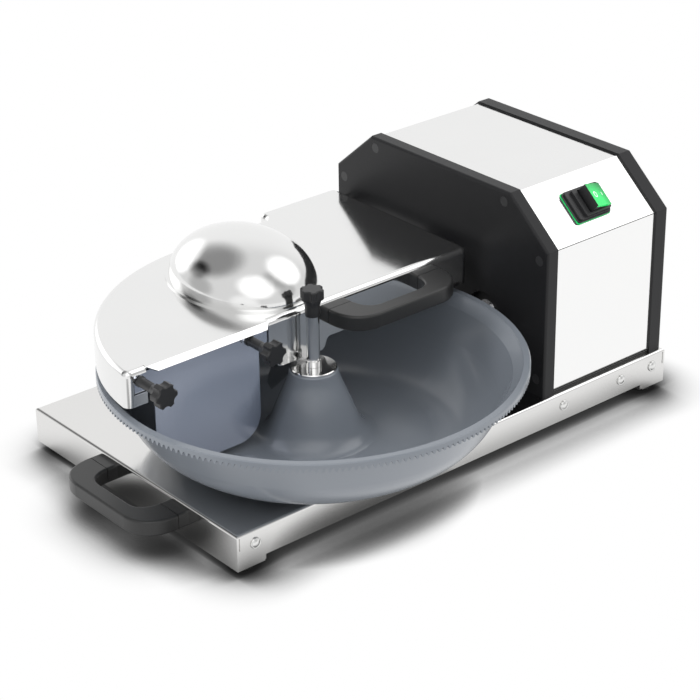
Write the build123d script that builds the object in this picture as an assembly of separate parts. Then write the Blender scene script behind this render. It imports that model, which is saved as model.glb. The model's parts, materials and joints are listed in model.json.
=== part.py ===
from build123d import *
from math import atan2, cos, degrees, pi, radians, sin, sqrt, tan
import os

# Meat bowl cutter, table-top. Millimetres, +Z up. The operator stands at -Y,
# the motor housing is at +X. Origin: middle of the footprint, on the table.

# ---------------------------------------------------------------- base tray
BASE_L = 700.0            # along X
BASE_W = 406.0            # along Y
BASE_H = 46.0             # depth of the end flanges
SIDE_H = 38.0             # depth of the front and back flanges
SHEET = 2.0               # stainless sheet
TAB_L = 39.0              # corner returns of the end flanges
BEND_R = 3.5              # outer bend radius along the top edges
SLIT_W = 1.2              # relief slit at each corner
FOOT_H = 10.0
FOOT_R = 14.2
FOOT_INSET = 21.0
BRACKET_L = 40.0
BRACKET_T = 3.0
SCREW_NEAR = 26.0         # dome-head screw of the long sides, from the handle end
SCREW_FAR = (184.0, 81.0, 23.0)   # the others, from the housing end
SCREW_R = 4.0
SCREW_DROP = 17.5         # screw line under the base top
SCREW_HEAD_R = 7.0
SCREW_HEAD_H = 3.6
SCREW_L = 10.0
SCREW_SOCKET_R = 2.3
SCREW_SOCKET_D = 1.6

# ---------------------------------------------------------------- bowl
BOWL_R = 255.5            # outer radius of the rim band
BOWL_FROM_PLATE = 21.5    # rim to the housing's front end plate
BOWL_FROM_FRONT = 114.5   # bowl axis from the front of the base
RIM_Z = 111.0             # rim top above the base top
RIM_BAND = 5.0            # height of the rim's outer band
BEAD_W = 8.5              # flat bead on top of the rim
BOWL_T = 4.0              # moulded wall
BOWL_CLEAR = 8.0          # underside above the base
TROUGH_IN = 56.0          # inner radius where the trough's full circle would end
TROUGH_OUT = 29.5         # the same circle's outer end from the rim's outside
TROUGH_ARC = (BOWL_R - TROUGH_OUT - TROUGH_IN) / 2   # radius of the trough's curve
TROUGH_R = TROUGH_IN + TROUGH_ARC                    # radius of its deepest circle
HUB_FOOT_R = 75.0         # where the hub's flare meets the trough's floor
WALL_TILT = 65.0          # slope of the upper wall, degrees from level
LIP_DROP = 14.0           # flared lip starts this far under the rim top
HUB_TOP_Z = 97.0          # top of the moulded hub above the base
HUB_TOP_R = 29.5
HUB_BORE_R = 15.0
DISC_R = 28.0             # steel disc on the hub
DISC_T = 3.0
SPINDLE_R = 14.0
SPINDLE_FLANGE_R = 22.0
SPINDLE_FLANGE_T = 8.0
SHOULDER_R = 17.0
SHOULDER_GAP = 0.2        # spindle's shoulder over the housing's top
SPINDLE_LOW = -12.0       # spindle's lower end from the base top
HOUSING_R = 19.0
HOUSING_FLANGE_R = 44.0
HOUSING_FLANGE_T = 5.0
HOUSING_UNDER = 8.0       # housing below the tray's sheet
HOUSING_TOP = HUB_TOP_Z - 38.5          # above the base top

# ---------------------------------------------------------------- bowl drive
RING_TEETH = 225
PINION_TEETH = 20
RING_W = 9.5              # radial width of the toothed ring
RING_IN_R = BOWL_R - RING_W
TOOTH_ADD = 1.8
TOOTH_DED = 2.5
TOOTH_SHARE = 0.42        # tooth width as a share of the pitch
FLANK = 20.0              # degrees
PINION_W = 15.0
PINION_SHAFT_R = 8.0
RECESS_R = 27.5           # recess round the pinion in the front end plate
RECESS_D = 6.0
BEARING_R = 15.0
BEARING_W = 12.0

# ---------------------------------------------------------------- housing
HOUSE_L = 212.5           # over both end plates
HOUSE_FROM_END = 2.5      # rear end plate from the base's end
PLATE_T = 18.0
REAR_PLATE_T = 21.0
PLATE_X = BASE_L - HOUSE_FROM_END - HOUSE_L          # front end plate's face
REAR_PLATE_X = BASE_L - HOUSE_FROM_END - REAR_PLATE_T
HOUSE_Y = 6.0             # housing's front face from the base's front
HOUSE_W = 392.0
HOUSE_H = 254.5
CHAMFER_Y = 68.0
CHAMFER_Z = 58.0
PLATE_ROUND = 3.5
SKIN_INSET = 2.5
SKIN_T = 1.5
PANEL_GAP = 0.5
PLINTH_H = 6.0
PLINTH_T = 3.0
ROD_R = 5.0               # tie rods between the end plates
PLUG_R = 6.5
PLUG_T = 3.0
BRG_PLATE_T = 8.0
DRIVE_SPACE = 36.5        # bearing plate to rear end plate, for the belts
BRG_PLATE_X = REAR_PLATE_X - DRIVE_SPACE - BRG_PLATE_T
GLAND_R = 10.0
GLAND_BORE_R = 4.5
GLAND_OUT = 14.0
GLAND_FROM_BACK = 60.0
GLAND_UP = 40.0
VENTS = 7
VENT_L = 110.0
VENT_H = 5.0
VENT_STEP = 12.0
VENT_Y = 150.0            # vents' middle from the base's front
VENT_Z = 130.0            # lowest vent above the base top

# ---------------------------------------------------------------- switch
SWITCH_FROM_PLATE = 98.5  # middle of the bezel from the front end plate
SWITCH_S = 44.0           # up the front chamfer from its lower edge
SWITCH_L = 57.0
SWITCH_W = 44.0
BEZEL_H = 11.0
SWITCH_BODY_L = 37.0
SWITCH_BODY_W = 38.0
SWITCH_BODY_D = 26.0
ROCKER_X = 9.5            # rocker's middle from the bezel's
ROCKER_L = 34.0
ROCKER_W = 32.0
ROCKER_HIGH = 24.0        # pressed side and raised side above the skin
ROCKER_LOW = 12.0
ROCKER_SINK = 12.0         # depth of the pocket under the skin
ROCKER_PLAY = 0.4
ROCKER_SWING = 2.8
ROCKER_PIVOT = -4.0       # pivot's height above the skin
ROCKER_PIN_R = 2.5
ROCKER_PIN_OUT = 1.8      # pin beyond the rocker on each side
LENS_T = 4.0

# ---------------------------------------------------------------- motor and belts
MOTOR_FROM_FRONT = 140.0
MOTOR_UP = 165.0
MOTOR_R = 58.0
MOTOR_L = 114.0           # shell in front of the bearing plate
MOTOR_SHAFT_R = 7.0
MOTOR_FINS = 24
CAPACITOR_R = 20.0
CAPACITOR_L = 75.0
CAPACITOR_Y = 270.0       # from the base's front
CAPACITOR_Z = 205.0       # above the base top
KNIFE_PULLEY_R = 28.0
SMALL_PULLEY_R = 11.0
LARGE_PULLEY_R = 44.0
BELT_W = 11.0
BELT_T = 3.0

# ---------------------------------------------------------------- knife
KNIFE_INSET = 9.0         # shaft axis inside the trough's deepest circle
KNIFE_OVER = 15.0         # knife's radius over the trough's
KNIFE_GAP = 10.0          # knife's tip above the trough's floor
KNIFE_R = TROUGH_ARC + KNIFE_OVER                    # tip radius
KNIFE_Y = BOWL_FROM_FRONT + TROUGH_R - KNIFE_INSET   # axis from the base's front
KNIFE_Z = BOWL_CLEAR + BOWL_T + KNIFE_GAP + KNIFE_R  # axis above the base top
KNIFE_T = 3.0
KNIFE_SHAFT_R = 9.0
KNIFE_HUB_R = 24.0
BLADE_GAP = 3.0           # spacer between the two blades
NOSE_R = 18.0             # bearing nose on the front end plate
NOSE_L = 40.0
SLEEVE_R = 14.0           # sleeve that the blades sit on
KNIFE_SHAFT_IN = 14.0     # shaft past the knife plane
HUB_FLANGE_T = 10.0       # driving flange behind the blades
HUB_BOSS_T = 8.0
NUT_WASHER_T = 4.0
NUT_T = 12.0              # with its washer

# ---------------------------------------------------------------- lid
BOWL_FROM_END = PLATE_X - BOWL_FROM_PLATE - BOWL_R   # bowl axis from the handle end
LID_R = BOWL_R - 1.0      # curved skirt, about the bowl axis
LID_FRONT = BOWL_FROM_FRONT + 18.0      # front wall from the base's front
HINGE_BACK = HOUSE_Y + HOUSE_W - 20.0   # hinge pin from the base's front
LID_BACK = HINGE_BACK + 13.0            # wide part's back edge
LID_WIDE_X = BOWL_FROM_END + 137.0      # where the wide part starts
LID_END_X = PLATE_X - 12.0              # end beside the housing
LID_TOP = RIM_Z + 57.0    # above the base top
LID_SKIRT_Z = RIM_Z + 12.0              # skirt's lower edge
LID_WALL_Z = RIM_Z + 8.5                # front wall's lower edge
LID_TONGUE_Z = HUB_TOP_Z + 7.0          # front wall's lower edge over the hub
LID_ROLL = 7.5            # rolled top edge
LID_CORNER = 9.0          # upright corners
LID_T = 2.0
GAP_X0 = BOWL_FROM_END - 225.0          # opening in the front wall, closed by the guard
GAP_X1 = BOWL_FROM_END - 51.0
TONGUE_START = 10.0       # tongue of the front wall, from the opening
TONGUE_L = 67.0
TONGUE_EASE = 16.0        # run of the curve up to the wall's edge
TONGUE_CORNER = 8.0
LIP_REACH = 6.6
LIP_TAPER = 7.0
DOME_A = 82.0             # semi-axes of the knife dome
DOME_B = 103.0
DOME_T = 2.0
DOME_GAP = 6.5            # knife's tip to the dome's inside
DOME_H = KNIFE_Z + KNIFE_R + DOME_GAP + DOME_T - LID_TOP
DOME_FLANGE = 4.5
GUARD_T = 2.0
GUARD_X1 = GAP_X1 - 14.0
GUARD_GAP = 9.5           # guard to bowl surface
GUARD_LEFT_IN = 2.0       # left edge inside the guard's full curve
GUARD_CORNER = 32.0       # round at the hub side
END_FLANGE = 14.0         # flange down the end beside the housing
BACK_RAISE = 4.0          # back skirt's edge over the rest of the skirt's
NOTCH_W = 18.0            # notch for the left stud
NOTCH_Z = LID_TOP - 31.0
TAB_HALF = 10.0           # half width of the tabs that carry the studs
HINGE_UP = LID_TOP - 16.0
HINGE_R = 7.0
HINGE_L = 132.0
HINGE_SOCKET = 12.0
KNUCKLE_R = 10.5
KNUCKLE_L = 26.0

# ---------------------------------------------------------------- knobs and handles
KNOB_R = 15.0
KNOB_H = 12.0
KNOB_NECK = 40.0          # washer to head
KNOB_FLARE = 14.0         # cone under the head
KNOB_NECK_R = 6.0
KNOB_FOOT_R = 6.8
KNOB_BORE = 20.0
STUD_R = 4.0
STUD_L = 20.0
WASHER_T = 2.5
POST_R = 8.0
POST_TOP = HUB_TOP_Z + 68.6             # clamp post's top above the base top
POST_LOW = HUB_TOP_Z - 37.0             # its foot in the spindle
CLAMP_KNOB_R = 14.0
CLAMP_KNOB_H = 12.5
GUARD_KNOB_Z = LID_TOP - 14.5           # above the base top
GUARD_KNOB_X = (GAP_X0 - 9.6, GAP_X1 - 30.0)
HANDLE_W = 178.0
HANDLE_REACH = 62.0
HANDLE_T = 21.0           # thickness of the bar
HANDLE_H = 20.0
HANDLE_LEG = 37.0
HANDLE_BOLT_R = 3.0
HANDLE_CAP = 14.0
HANDLE_SEAM = 0.8         # seam between cap and grip
HANDLE_BOLT_IN = 12.0     # bolt in the grip, past the cap
HANDLE_BOLT_HEAD_R = 5.5
HANDLE_BOLT_HEAD_T = 4.0
BASE_HANDLE_Y = 179.0
BASE_HANDLE_DROP = 16.0   # grip's middle below the base top
LID_HANDLE_X = BOWL_FROM_END + 116.0

# ---------------------------------------------------------------- clearances
RUN = 0.05                # running fit, radial
FREE = 0.3                # between curved faces of different bodies
SEAT = 0.02               # seated bearing, radial
HOLE = 0.2                # screw holes, radial
ROD_HOLE = 0.1            # tie rod holes and plug pockets, radial

# ---------------------------------------------------------------- places
BOWL_OVERHANG = BOWL_R - BOWL_FROM_FRONT
END_X = max(BASE_L, REAR_PLATE_X + REAR_PLATE_T + GLAND_OUT)
X0 = (HANDLE_REACH - END_X) / 2
Y0 = BOWL_OVERHANG / 2 - BASE_W / 2
Z0 = FOOT_H + BASE_H
BX = X0 + BOWL_FROM_END
BY = Y0 + BOWL_FROM_FRONT
KX = BX                    # knife plane passes through the bowl axis
KY = Y0 + KNIFE_Y
KZ = Z0 + KNIFE_Z
PX0 = X0 + PLATE_X
PX1 = PX0 + PLATE_T
RX0 = X0 + REAR_PLATE_X
RX1 = RX0 + REAR_PLATE_T
BRG_X0 = X0 + BRG_PLATE_X
BRG_X1 = BRG_X0 + BRG_PLATE_T
BELT1_X0 = BRG_X1 + 4
BELT1_X1 = BELT1_X0 + BELT_W
BELT2_X0 = BELT1_X1
BELT2_X1 = BELT2_X0 + BELT_W
MOTOR_X0 = BRG_X0 - MOTOR_L
MOTOR_Y = Y0 + MOTOR_FROM_FRONT
MOTOR_Z = Z0 + MOTOR_UP
GLAND_Y = Y0 + HOUSE_Y + HOUSE_W - GLAND_FROM_BACK
GLAND_Z = Z0 + GLAND_UP
HANDLE_Z = Z0 - BASE_HANDLE_DROP
LID_HANDLE_Z = Z0 + (LID_WALL_Z + LID_TOP) / 2 + 9
HINGE_Y = Y0 + HINGE_BACK
HINGE_Z = Z0 + HINGE_UP
KNUCKLES = [
    (PX0 - HINGE_L + 8, PX0 - HINGE_L + 8 + KNUCKLE_L),
    (X0 + LID_END_X - LID_T - 6 - KNUCKLE_L, X0 + LID_END_X - LID_T - 6),
]
GUARD_Y = Y0 + LID_FRONT + LID_T + 0.5
TAB_Y = GUARD_Y + GUARD_T

parts = {}


def rod_x(radius, x_from, x_to, y, z):
    """Cylinder along X in model coordinates."""
    plane = Plane(origin=(x_from, y, z), x_dir=(0, 1, 0), z_dir=(1, 0, 0))
    return extrude(plane * Circle(radius), x_to - x_from)


def rod_z(radius, x, y, z_from, z_to):
    return extrude(Plane(origin=(x, y, z_from)) * Circle(radius), z_to - z_from)


def rod_y(radius, x, y_from, y_to, z):
    plane = Plane(origin=(x, y_from, z), x_dir=(0, 0, 1), z_dir=(0, 1, 0))
    return extrude(plane * Circle(radius), y_to - y_from)


def block(x_from, x_to, y_from, y_to, z_from, z_to):
    box = Box(x_to - x_from, y_to - y_from, z_to - z_from, align=(Align.MIN,) * 3)
    return Pos(x_from, y_from, z_from) * box


def prism_x(points, x_from, x_to):
    """Prism along X from (y, z) points."""
    plane = Plane(origin=(x_from, 0, 0), x_dir=(0, 1, 0), z_dir=(1, 0, 0))
    return extrude(plane * make_face(Polyline(*points, close=True)), x_to - x_from)


def spun(points, x, y, z):
    """Revolve (radius, height) points about the vertical through x, y."""
    profile = Plane.XZ * make_face(Polyline(*points, close=True))
    return Pos(x, y, z) * revolve(profile, Axis.Z)


def save(name, *solids):
    shape = solids[0] if len(solids) == 1 else Compound(children=list(solids))
    parts[name] = shape


# ================================================================ base tray
def base_tray():
    x1, y1 = X0 + BASE_L, Y0 + BASE_W
    tray = block(X0, x1, Y0, y1, Z0 - BASE_H, Z0)
    tray = fillet(tray.edges().group_by(Axis.Z)[-1], BEND_R)
    tray -= block(X0 + SHEET, x1 - SHEET, Y0 + SHEET, y1 - SHEET, Z0 - BASE_H - 1, Z0 - SHEET)
    for y_from in (Y0 - 1, y1 - SHEET - 1):
        tray -= block(
            X0 + TAB_L, x1 - TAB_L, y_from, y_from + SHEET + 2, Z0 - BASE_H - 1, Z0 - SIDE_H
        )
    for x in (X0 + SHEET + 1, x1 - SHEET - 1 - SLIT_W):
        for y_from in (Y0 - 1, y1 - SHEET - 1):
            tray -= block(x, x + SLIT_W, y_from, y_from + SHEET + 2, Z0 - 20, Z0 - BEND_R)
    for x in screw_xs():
        tray -= rod_y(SCREW_R + HOLE, x, Y0 - 1, y1 + 1, Z0 - SCREW_DROP)
    for y in handle_bolt_ys():
        tray -= rod_x(HANDLE_BOLT_R + HOLE, X0 - 1, X0 + SHEET + 1, y, HANDLE_Z)
    tray -= rod_z(HOUSING_R + 0.1, BX, BY, Z0 - SHEET - 1, Z0 + 1)
    return tray


def screw_xs():
    """Dome-head screws along the long sides."""
    return [X0 + SCREW_NEAR] + [X0 + BASE_L - x for x in SCREW_FAR]


def dome_screw_y(x, y_face, out, z):
    """Dome-head screw whose head sits on a face that looks along out (+1 or -1) Y."""
    head = Pos(x, y_face, z) * Rot(X=-90 * out) * dome_head()
    y_end = y_face - out * SCREW_L
    shank = rod_y(SCREW_R, x, min(y_face, y_end), max(y_face, y_end), z)
    return head + shank


def dome_head():
    """Button head standing on the origin, along +Z."""
    ball = (SCREW_HEAD_R**2 + SCREW_HEAD_H**2) / (2 * SCREW_HEAD_H)
    cap = Pos(0, 0, SCREW_HEAD_H - ball) * Sphere(ball)
    head = cap & extrude(Circle(SCREW_HEAD_R), SCREW_HEAD_H * 2)
    socket = RegularPolygon(SCREW_SOCKET_R, 6)
    return head - Pos(0, 0, SCREW_HEAD_H - SCREW_SOCKET_D) * extrude(socket, 3)


def tray_screws():
    front = [dome_screw_y(x, Y0, -1, Z0 - SCREW_DROP) for x in screw_xs()]
    back = [dome_screw_y(x, Y0 + BASE_W, 1, Z0 - SCREW_DROP) for x in screw_xs()]
    return front + back


def foot_places():
    xs = (X0 + FOOT_INSET, X0 + BASE_L - FOOT_INSET)
    ys = (Y0 + FOOT_INSET, Y0 + BASE_W - FOOT_INSET)
    return [(x, y) for x in xs for y in ys]


def rubber_foot(x, y):
    points = [
        (3.5, 0), (FOOT_R - 1.5, 0), (FOOT_R, 2.5), (FOOT_R - 1.2, FOOT_H),
        (3.5, FOOT_H),
    ]
    return spun(points, x, y, 0)


def foot_bolt(x, y):
    """Pan screw up through the foot and the bracket, with its nut."""
    shank = rod_z(3.4, x, y, 3.0, FOOT_H + BRACKET_T + 9)
    nut = extrude(Plane(origin=(x, y, FOOT_H + BRACKET_T)) * RegularPolygon(6.5, 6), 5)
    return shank + nut


def corner_bracket(x, y):
    """Angle inside the tray corner: a floor that the foot is bolted to, and a wall."""
    sx = 1 if x < X0 + BASE_L / 2 else -1
    sy = 1 if y < Y0 + BASE_W / 2 else -1
    xa = X0 + SHEET if sx > 0 else X0 + BASE_L - SHEET
    ya = Y0 + SHEET if sy > 0 else Y0 + BASE_W - SHEET
    xb, yb = xa + sx * BRACKET_L, ya + sy * BRACKET_L
    floor = block(min(xa, xb), max(xa, xb), min(ya, yb), max(ya, yb), FOOT_H, FOOT_H + BRACKET_T)
    wall_y = ya + sy * BRACKET_T
    wall = block(
        min(xa, xb), max(xa, xb), min(ya, wall_y), max(ya, wall_y), FOOT_H, Z0 - SHEET - 2
    )
    piece = floor + wall
    piece -= rod_z(3.5, x, y, FOOT_H - 1, FOOT_H + BRACKET_T + 1)
    screw_x = screw_xs()[0] if sx > 0 else screw_xs()[-1]
    return piece - rod_y(SCREW_R + HOLE, screw_x, Y0, Y0 + BASE_W, Z0 - SCREW_DROP)


# ================================================================ handles
def bow_handle():
    """Bow grip in plan: mounted on the Y axis, reaching out along -X, at z = 0."""
    half = HANDLE_W / 2
    knee = 40.0
    outer = [
        Line((0, -half), (-18, -half)),
        Bezier((-18, -half), (-HANDLE_REACH + 2, -half + 2), (-HANDLE_REACH, -half + knee)),
        Line((-HANDLE_REACH, -half + knee), (-HANDLE_REACH, half - knee)),
        Bezier((-HANDLE_REACH, half - knee), (-HANDLE_REACH + 2, half - 2), (-18, half)),
        Line((-18, half), (0, half)),
    ]
    gap = half - HANDLE_LEG
    reach_in = HANDLE_REACH - HANDLE_T
    turn = 24.0
    inner = [
        Line((0, half), (0, gap)),
        Line((0, gap), (-14, gap)),
        Bezier((-14, gap), (-reach_in, gap - 2), (-reach_in, gap - turn)),
        Line((-reach_in, gap - turn), (-reach_in, turn - gap)),
        Bezier((-reach_in, turn - gap), (-reach_in, 2 - gap), (-14, -gap)),
        Line((-14, -gap), (0, -gap)),
        Line((0, -gap), (0, -half)),
    ]
    face = make_face(Wire(outer + inner))
    bow = extrude(face, HANDLE_H / 2, both=True)
    rims = bow.edges().group_by(Axis.Z)
    rims = [e for e in list(rims[0]) + list(rims[-1]) if abs(e.center().X) > 0.01]
    return fillet(rims, 3.0)


def handle_set(place):
    """Grip, the two end caps and the two bolts, moved by a location."""
    bow = bow_handle()
    caps_zone = Box(HANDLE_CAP, 400, 100, align=(Align.MAX, Align.CENTER, Align.CENTER))
    slit_zone = Pos(-HANDLE_CAP, 0, 0) * Box(HANDLE_SEAM, 400, 100)
    caps = (bow & caps_zone) - slit_zone
    grip = bow - caps_zone - slit_zone
    bolt_y = HANDLE_W / 2 - HANDLE_LEG / 2
    bolts = []
    bolt_start = -HANDLE_CAP - HANDLE_BOLT_IN
    for y in (-bolt_y, bolt_y):
        bolt = rod_x(HANDLE_BOLT_R, bolt_start, SHEET + HANDLE_BOLT_HEAD_T, y, 0)
        head_at = Plane(origin=(SHEET, y, 0), x_dir=(0, 1, 0), z_dir=(1, 0, 0))
        head = extrude(head_at * RegularPolygon(HANDLE_BOLT_HEAD_R, 6), HANDLE_BOLT_HEAD_T)
        bolts.append(bolt + head)
        bore = rod_x(HANDLE_BOLT_R, bolt_start, 1, y, 0)
        web = Pos(-HANDLE_CAP, y, 0) * Box(2.0, HANDLE_LEG - 10, HANDLE_H - 8)
        caps -= bore
        grip = grip + (web - caps) - bore
    return place * grip, [place * s for s in caps.solids()], [place * b for b in bolts]


def handle_bolt_ys():
    middle = Y0 + BASE_HANDLE_Y
    offset = HANDLE_W / 2 - HANDLE_LEG / 2
    return (middle - offset, middle + offset)


# ================================================================ bowl
def bowl_profile():
    """Half section of the bowl, in (radius, height above the base top)."""
    zi = BOWL_CLEAR + BOWL_T
    tilt = radians(WALL_TILT)
    arc_z = zi + TROUGH_ARC
    inner_end = (TROUGH_R + TROUGH_ARC * sin(tilt), arc_z - TROUGH_ARC * cos(tilt))
    outer_r = TROUGH_ARC + BOWL_T
    outer_end = (TROUGH_R + outer_r * sin(tilt), arc_z - outer_r * cos(tilt))
    lip_z = RIM_Z - LIP_DROP
    lip_in = (inner_end[0] + (lip_z - inner_end[1]) / tan(tilt), lip_z)
    under_z = RIM_Z - RIM_BAND
    lip_out_z = lip_z - 1.5
    lip_out = (outer_end[0] + (lip_out_z - outer_end[1]) / tan(tilt), lip_out_z)
    bead_in = BOWL_R - BEAD_W
    hub_foot = (HUB_FOOT_R, zi)
    mid = radians(90 - WALL_TILT / 2)
    inner_mid = (TROUGH_R + TROUGH_ARC * cos(mid), arc_z - TROUGH_ARC * sin(mid))
    outer_mid = (TROUGH_R + outer_r * cos(mid), arc_z - outer_r * sin(mid))
    edges = [
        Line((HUB_BORE_R, HUB_TOP_Z), (HUB_TOP_R - 1.5, HUB_TOP_Z)),
        Line((HUB_TOP_R - 1.5, HUB_TOP_Z), (HUB_TOP_R, HUB_TOP_Z - 1.5)),
        Spline(
            (HUB_TOP_R, HUB_TOP_Z - 1.5), (38.5, 69.0), (51.0, 38.0), hub_foot,
            tangents=((0.15, -1), (1, -0.12)),
        ),
        Line(hub_foot, (TROUGH_R, zi)),
        ThreePointArc((TROUGH_R, zi), inner_mid, inner_end),
        Line(inner_end, lip_in),
        Line(lip_in, (bead_in - 1.5, RIM_Z - 2.0)),
        Line((bead_in - 1.5, RIM_Z - 2.0), (bead_in, RIM_Z)),
        Line((bead_in, RIM_Z), (BOWL_R - 1.2, RIM_Z)),
        Line((BOWL_R - 1.2, RIM_Z), (BOWL_R, RIM_Z - 1.2)),
        Line((BOWL_R, RIM_Z - 1.2), (BOWL_R, under_z)),
        Line((BOWL_R, under_z), (RING_IN_R - 2.0, under_z)),
        Line((RING_IN_R - 2.0, under_z), lip_out),
        Line(lip_out, outer_end),
        ThreePointArc(outer_end, outer_mid, (TROUGH_R, BOWL_CLEAR)),
        Line((TROUGH_R, BOWL_CLEAR), (hub_foot[0] + 4, BOWL_CLEAR)),
        Spline(
            (hub_foot[0] + 4, BOWL_CLEAR), (49.0, 31.0), (36.0, 60.0), (25.5, HUB_TOP_Z - BOWL_T),
            tangents=((-1, 0.12), (-0.15, 1)),
        ),
        Line((25.5, HUB_TOP_Z - BOWL_T), (HUB_BORE_R, HUB_TOP_Z - BOWL_T)),
        Line((HUB_BORE_R, HUB_TOP_Z - BOWL_T), (HUB_BORE_R, HUB_TOP_Z)),
    ]
    return make_face(Wire(edges))


def bowl():
    shape = revolve(Plane.XZ * bowl_profile(), Axis.Z)
    return Pos(BX, BY, Z0) * shape


RING_MID_R = (RING_IN_R + BOWL_R) / 2
PITCH = 2 * pi * RING_MID_R / RING_TEETH
RING_ROOT_Z = RIM_Z - RIM_BAND - 0.6
MESH_Z = RING_ROOT_Z - TOOTH_DED
PINION_R = PINION_TEETH * PITCH / (2 * pi)
PINION_Z = MESH_Z - PINION_R


def bowl_gear_ring():
    """Crown gear under the rim: teeth point down, one gap faces +X at rest."""
    tip_z = MESH_Z - TOOTH_ADD
    slope = tan(radians(FLANK))
    half_gap = PITCH * (1 - TOOTH_SHARE) / 2
    top_half = half_gap - TOOTH_DED * slope
    low_half = half_gap + (TOOTH_ADD + 1) * slope
    low_z = tip_z - 1
    notch = prism_x(
        [(-low_half, low_z), (low_half, low_z), (top_half, RING_ROOT_Z), (-top_half, RING_ROOT_Z)],
        RING_IN_R - 3, BOWL_R + 3,
    )
    ring = revolve(
        Plane.XZ * make_face(Polyline(
            (RING_IN_R, tip_z), (BOWL_R, tip_z), (BOWL_R, RIM_Z - RIM_BAND),
            (RING_IN_R, RIM_Z - RIM_BAND), close=True,
        )),
        Axis.Z,
    )
    step = 360.0 / RING_TEETH
    notches = [Rot(Z=k * step) * notch for k in range(RING_TEETH)]
    ring = ring.cut(*notches)
    return Pos(BX, BY, Z0) * ring


def gear_points(teeth, pitch_r, add, ded, width, flank):
    """Straight-flanked gear outline in (y, z), one tooth pointing up at rest."""
    points = []
    slope = tan(radians(flank))
    for k in range(teeth):
        middle = 90.0 - k * 360.0 / teeth
        for radius, side in (
            (pitch_r - ded, -1), (pitch_r + add, -1), (pitch_r + add, 1), (pitch_r - ded, 1),
        ):
            half = width / 2 - (radius - pitch_r) * slope
            turn = degrees(half / radius)
            angle = radians(middle - side * turn)
            points.append((radius * cos(angle), radius * sin(angle)))
    return points


def pinion():
    points = gear_points(
        PINION_TEETH, PINION_R, TOOTH_ADD, TOOTH_DED, PITCH * TOOTH_SHARE, FLANK
    )
    x_from = X0 + BOWL_FROM_END + RING_IN_R - 2
    y, z = BY, Z0 + PINION_Z
    body = Pos(0, y, z) * prism_x(points, x_from, x_from + PINION_W)
    return body - rod_x(PINION_SHAFT_R, x_from - 1, x_from + PINION_W + 1, y, z)


# ================================================================ clamp and hub
def star_head(radius, height):
    """Six-lobed knob head standing on the origin, along +Z."""
    lobes = 6
    head = extrude(Circle(radius), height)
    for k in range(lobes):
        angle = radians((k + 0.5) * 360 / lobes)
        scallop = Pos(1.22 * radius * cos(angle), 1.22 * radius * sin(angle), -1)
        head -= scallop * extrude(Circle(0.42 * radius), height + 2)
    rims = [e for e in head.edges().group_by(Axis.Z)[-1]]
    return chamfer(rims, 1.2)


def star_knob(bore_r, foot_r, neck_r, neck_l, head_r, head_h):
    """Star knob standing on the origin, along +Z, with a blind bore from below."""
    base = spun(
        [(0, 0), (foot_r, 0), (foot_r, 3), (neck_r, 5), (neck_r, neck_l - KNOB_FLARE),
         (head_r - 4, neck_l - 1), (head_r - 4, neck_l), (0, neck_l)],
        0, 0, 0,
    )
    knob = base + Pos(0, 0, neck_l) * star_head(head_r, head_h)
    return knob - Pos(0, 0, -1) * extrude(Circle(bore_r), KNOB_BORE + 1)


def bowl_hub_disc():
    bore = POST_R + 0.5
    points = [(bore, 0), (DISC_R, 0), (DISC_R, DISC_T - 1), (DISC_R - 1, DISC_T), (bore, DISC_T)]
    return spun(points, BX, BY, Z0 + HUB_TOP_Z)


def bowl_spindle():
    """Spindle under the hub: flange against the hub, spigot through it, socket for the post."""
    top = HUB_TOP_Z
    flange_top = HUB_TOP_Z - BOWL_T
    flange_low = flange_top - SPINDLE_FLANGE_T
    shoulder = HOUSING_TOP + SHOULDER_GAP
    points = [
        (0, SPINDLE_LOW), (SPINDLE_R, SPINDLE_LOW), (SPINDLE_R, shoulder), (SHOULDER_R, shoulder),
        (SHOULDER_R, flange_low), (SPINDLE_FLANGE_R, flange_low), (SPINDLE_FLANGE_R, flange_top),
        (HUB_BORE_R - 0.1, flange_top), (HUB_BORE_R - 0.1, top),
        (POST_R + RUN, top), (POST_R + RUN, POST_LOW), (0, POST_LOW),
    ]
    return spun(points, BX, BY, Z0)


def bowl_bearing_housing():
    """Flanged tube on the tray: the spindle turns in it, its shoulder on the tube's top."""
    low = -SHEET - HOUSING_UNDER
    points = [
        (SPINDLE_R + RUN, low), (HOUSING_R, low), (HOUSING_R, 0), (HOUSING_FLANGE_R, 0),
        (HOUSING_FLANGE_R, HOUSING_FLANGE_T), (HOUSING_R, HOUSING_FLANGE_T + 2),
        (HOUSING_R, HOUSING_TOP), (SPINDLE_R + RUN, HOUSING_TOP),
    ]
    return spun(points, BX, BY, Z0)


def clamp_post():
    """Polished post with a collar, seated in the spindle's socket."""
    disc_top = HUB_TOP_Z + DISC_T
    points = [
        (0, POST_LOW + 0.2), (POST_R, POST_LOW + 0.2), (POST_R, disc_top + 0.2),
        (POST_R + 1, disc_top + 0.2), (POST_R + 1, disc_top + 8), (POST_R, disc_top + 8.5),
        (POST_R, POST_TOP), (0, POST_TOP),
    ]
    return spun(points, BX, BY, Z0)


def clamp_knob():
    points = [
        (0, POST_TOP), (POST_R + 0.5, POST_TOP), (POST_R + 1, POST_TOP + 4), (POST_R + 1, POST_TOP + 14),
        (CLAMP_KNOB_R - 2, POST_TOP + 22), (0, POST_TOP + 22),
    ]
    neck = spun(points, BX, BY, Z0)
    return neck + Pos(BX, BY, Z0 + POST_TOP + 22) * star_head(CLAMP_KNOB_R, CLAMP_KNOB_H)


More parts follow.
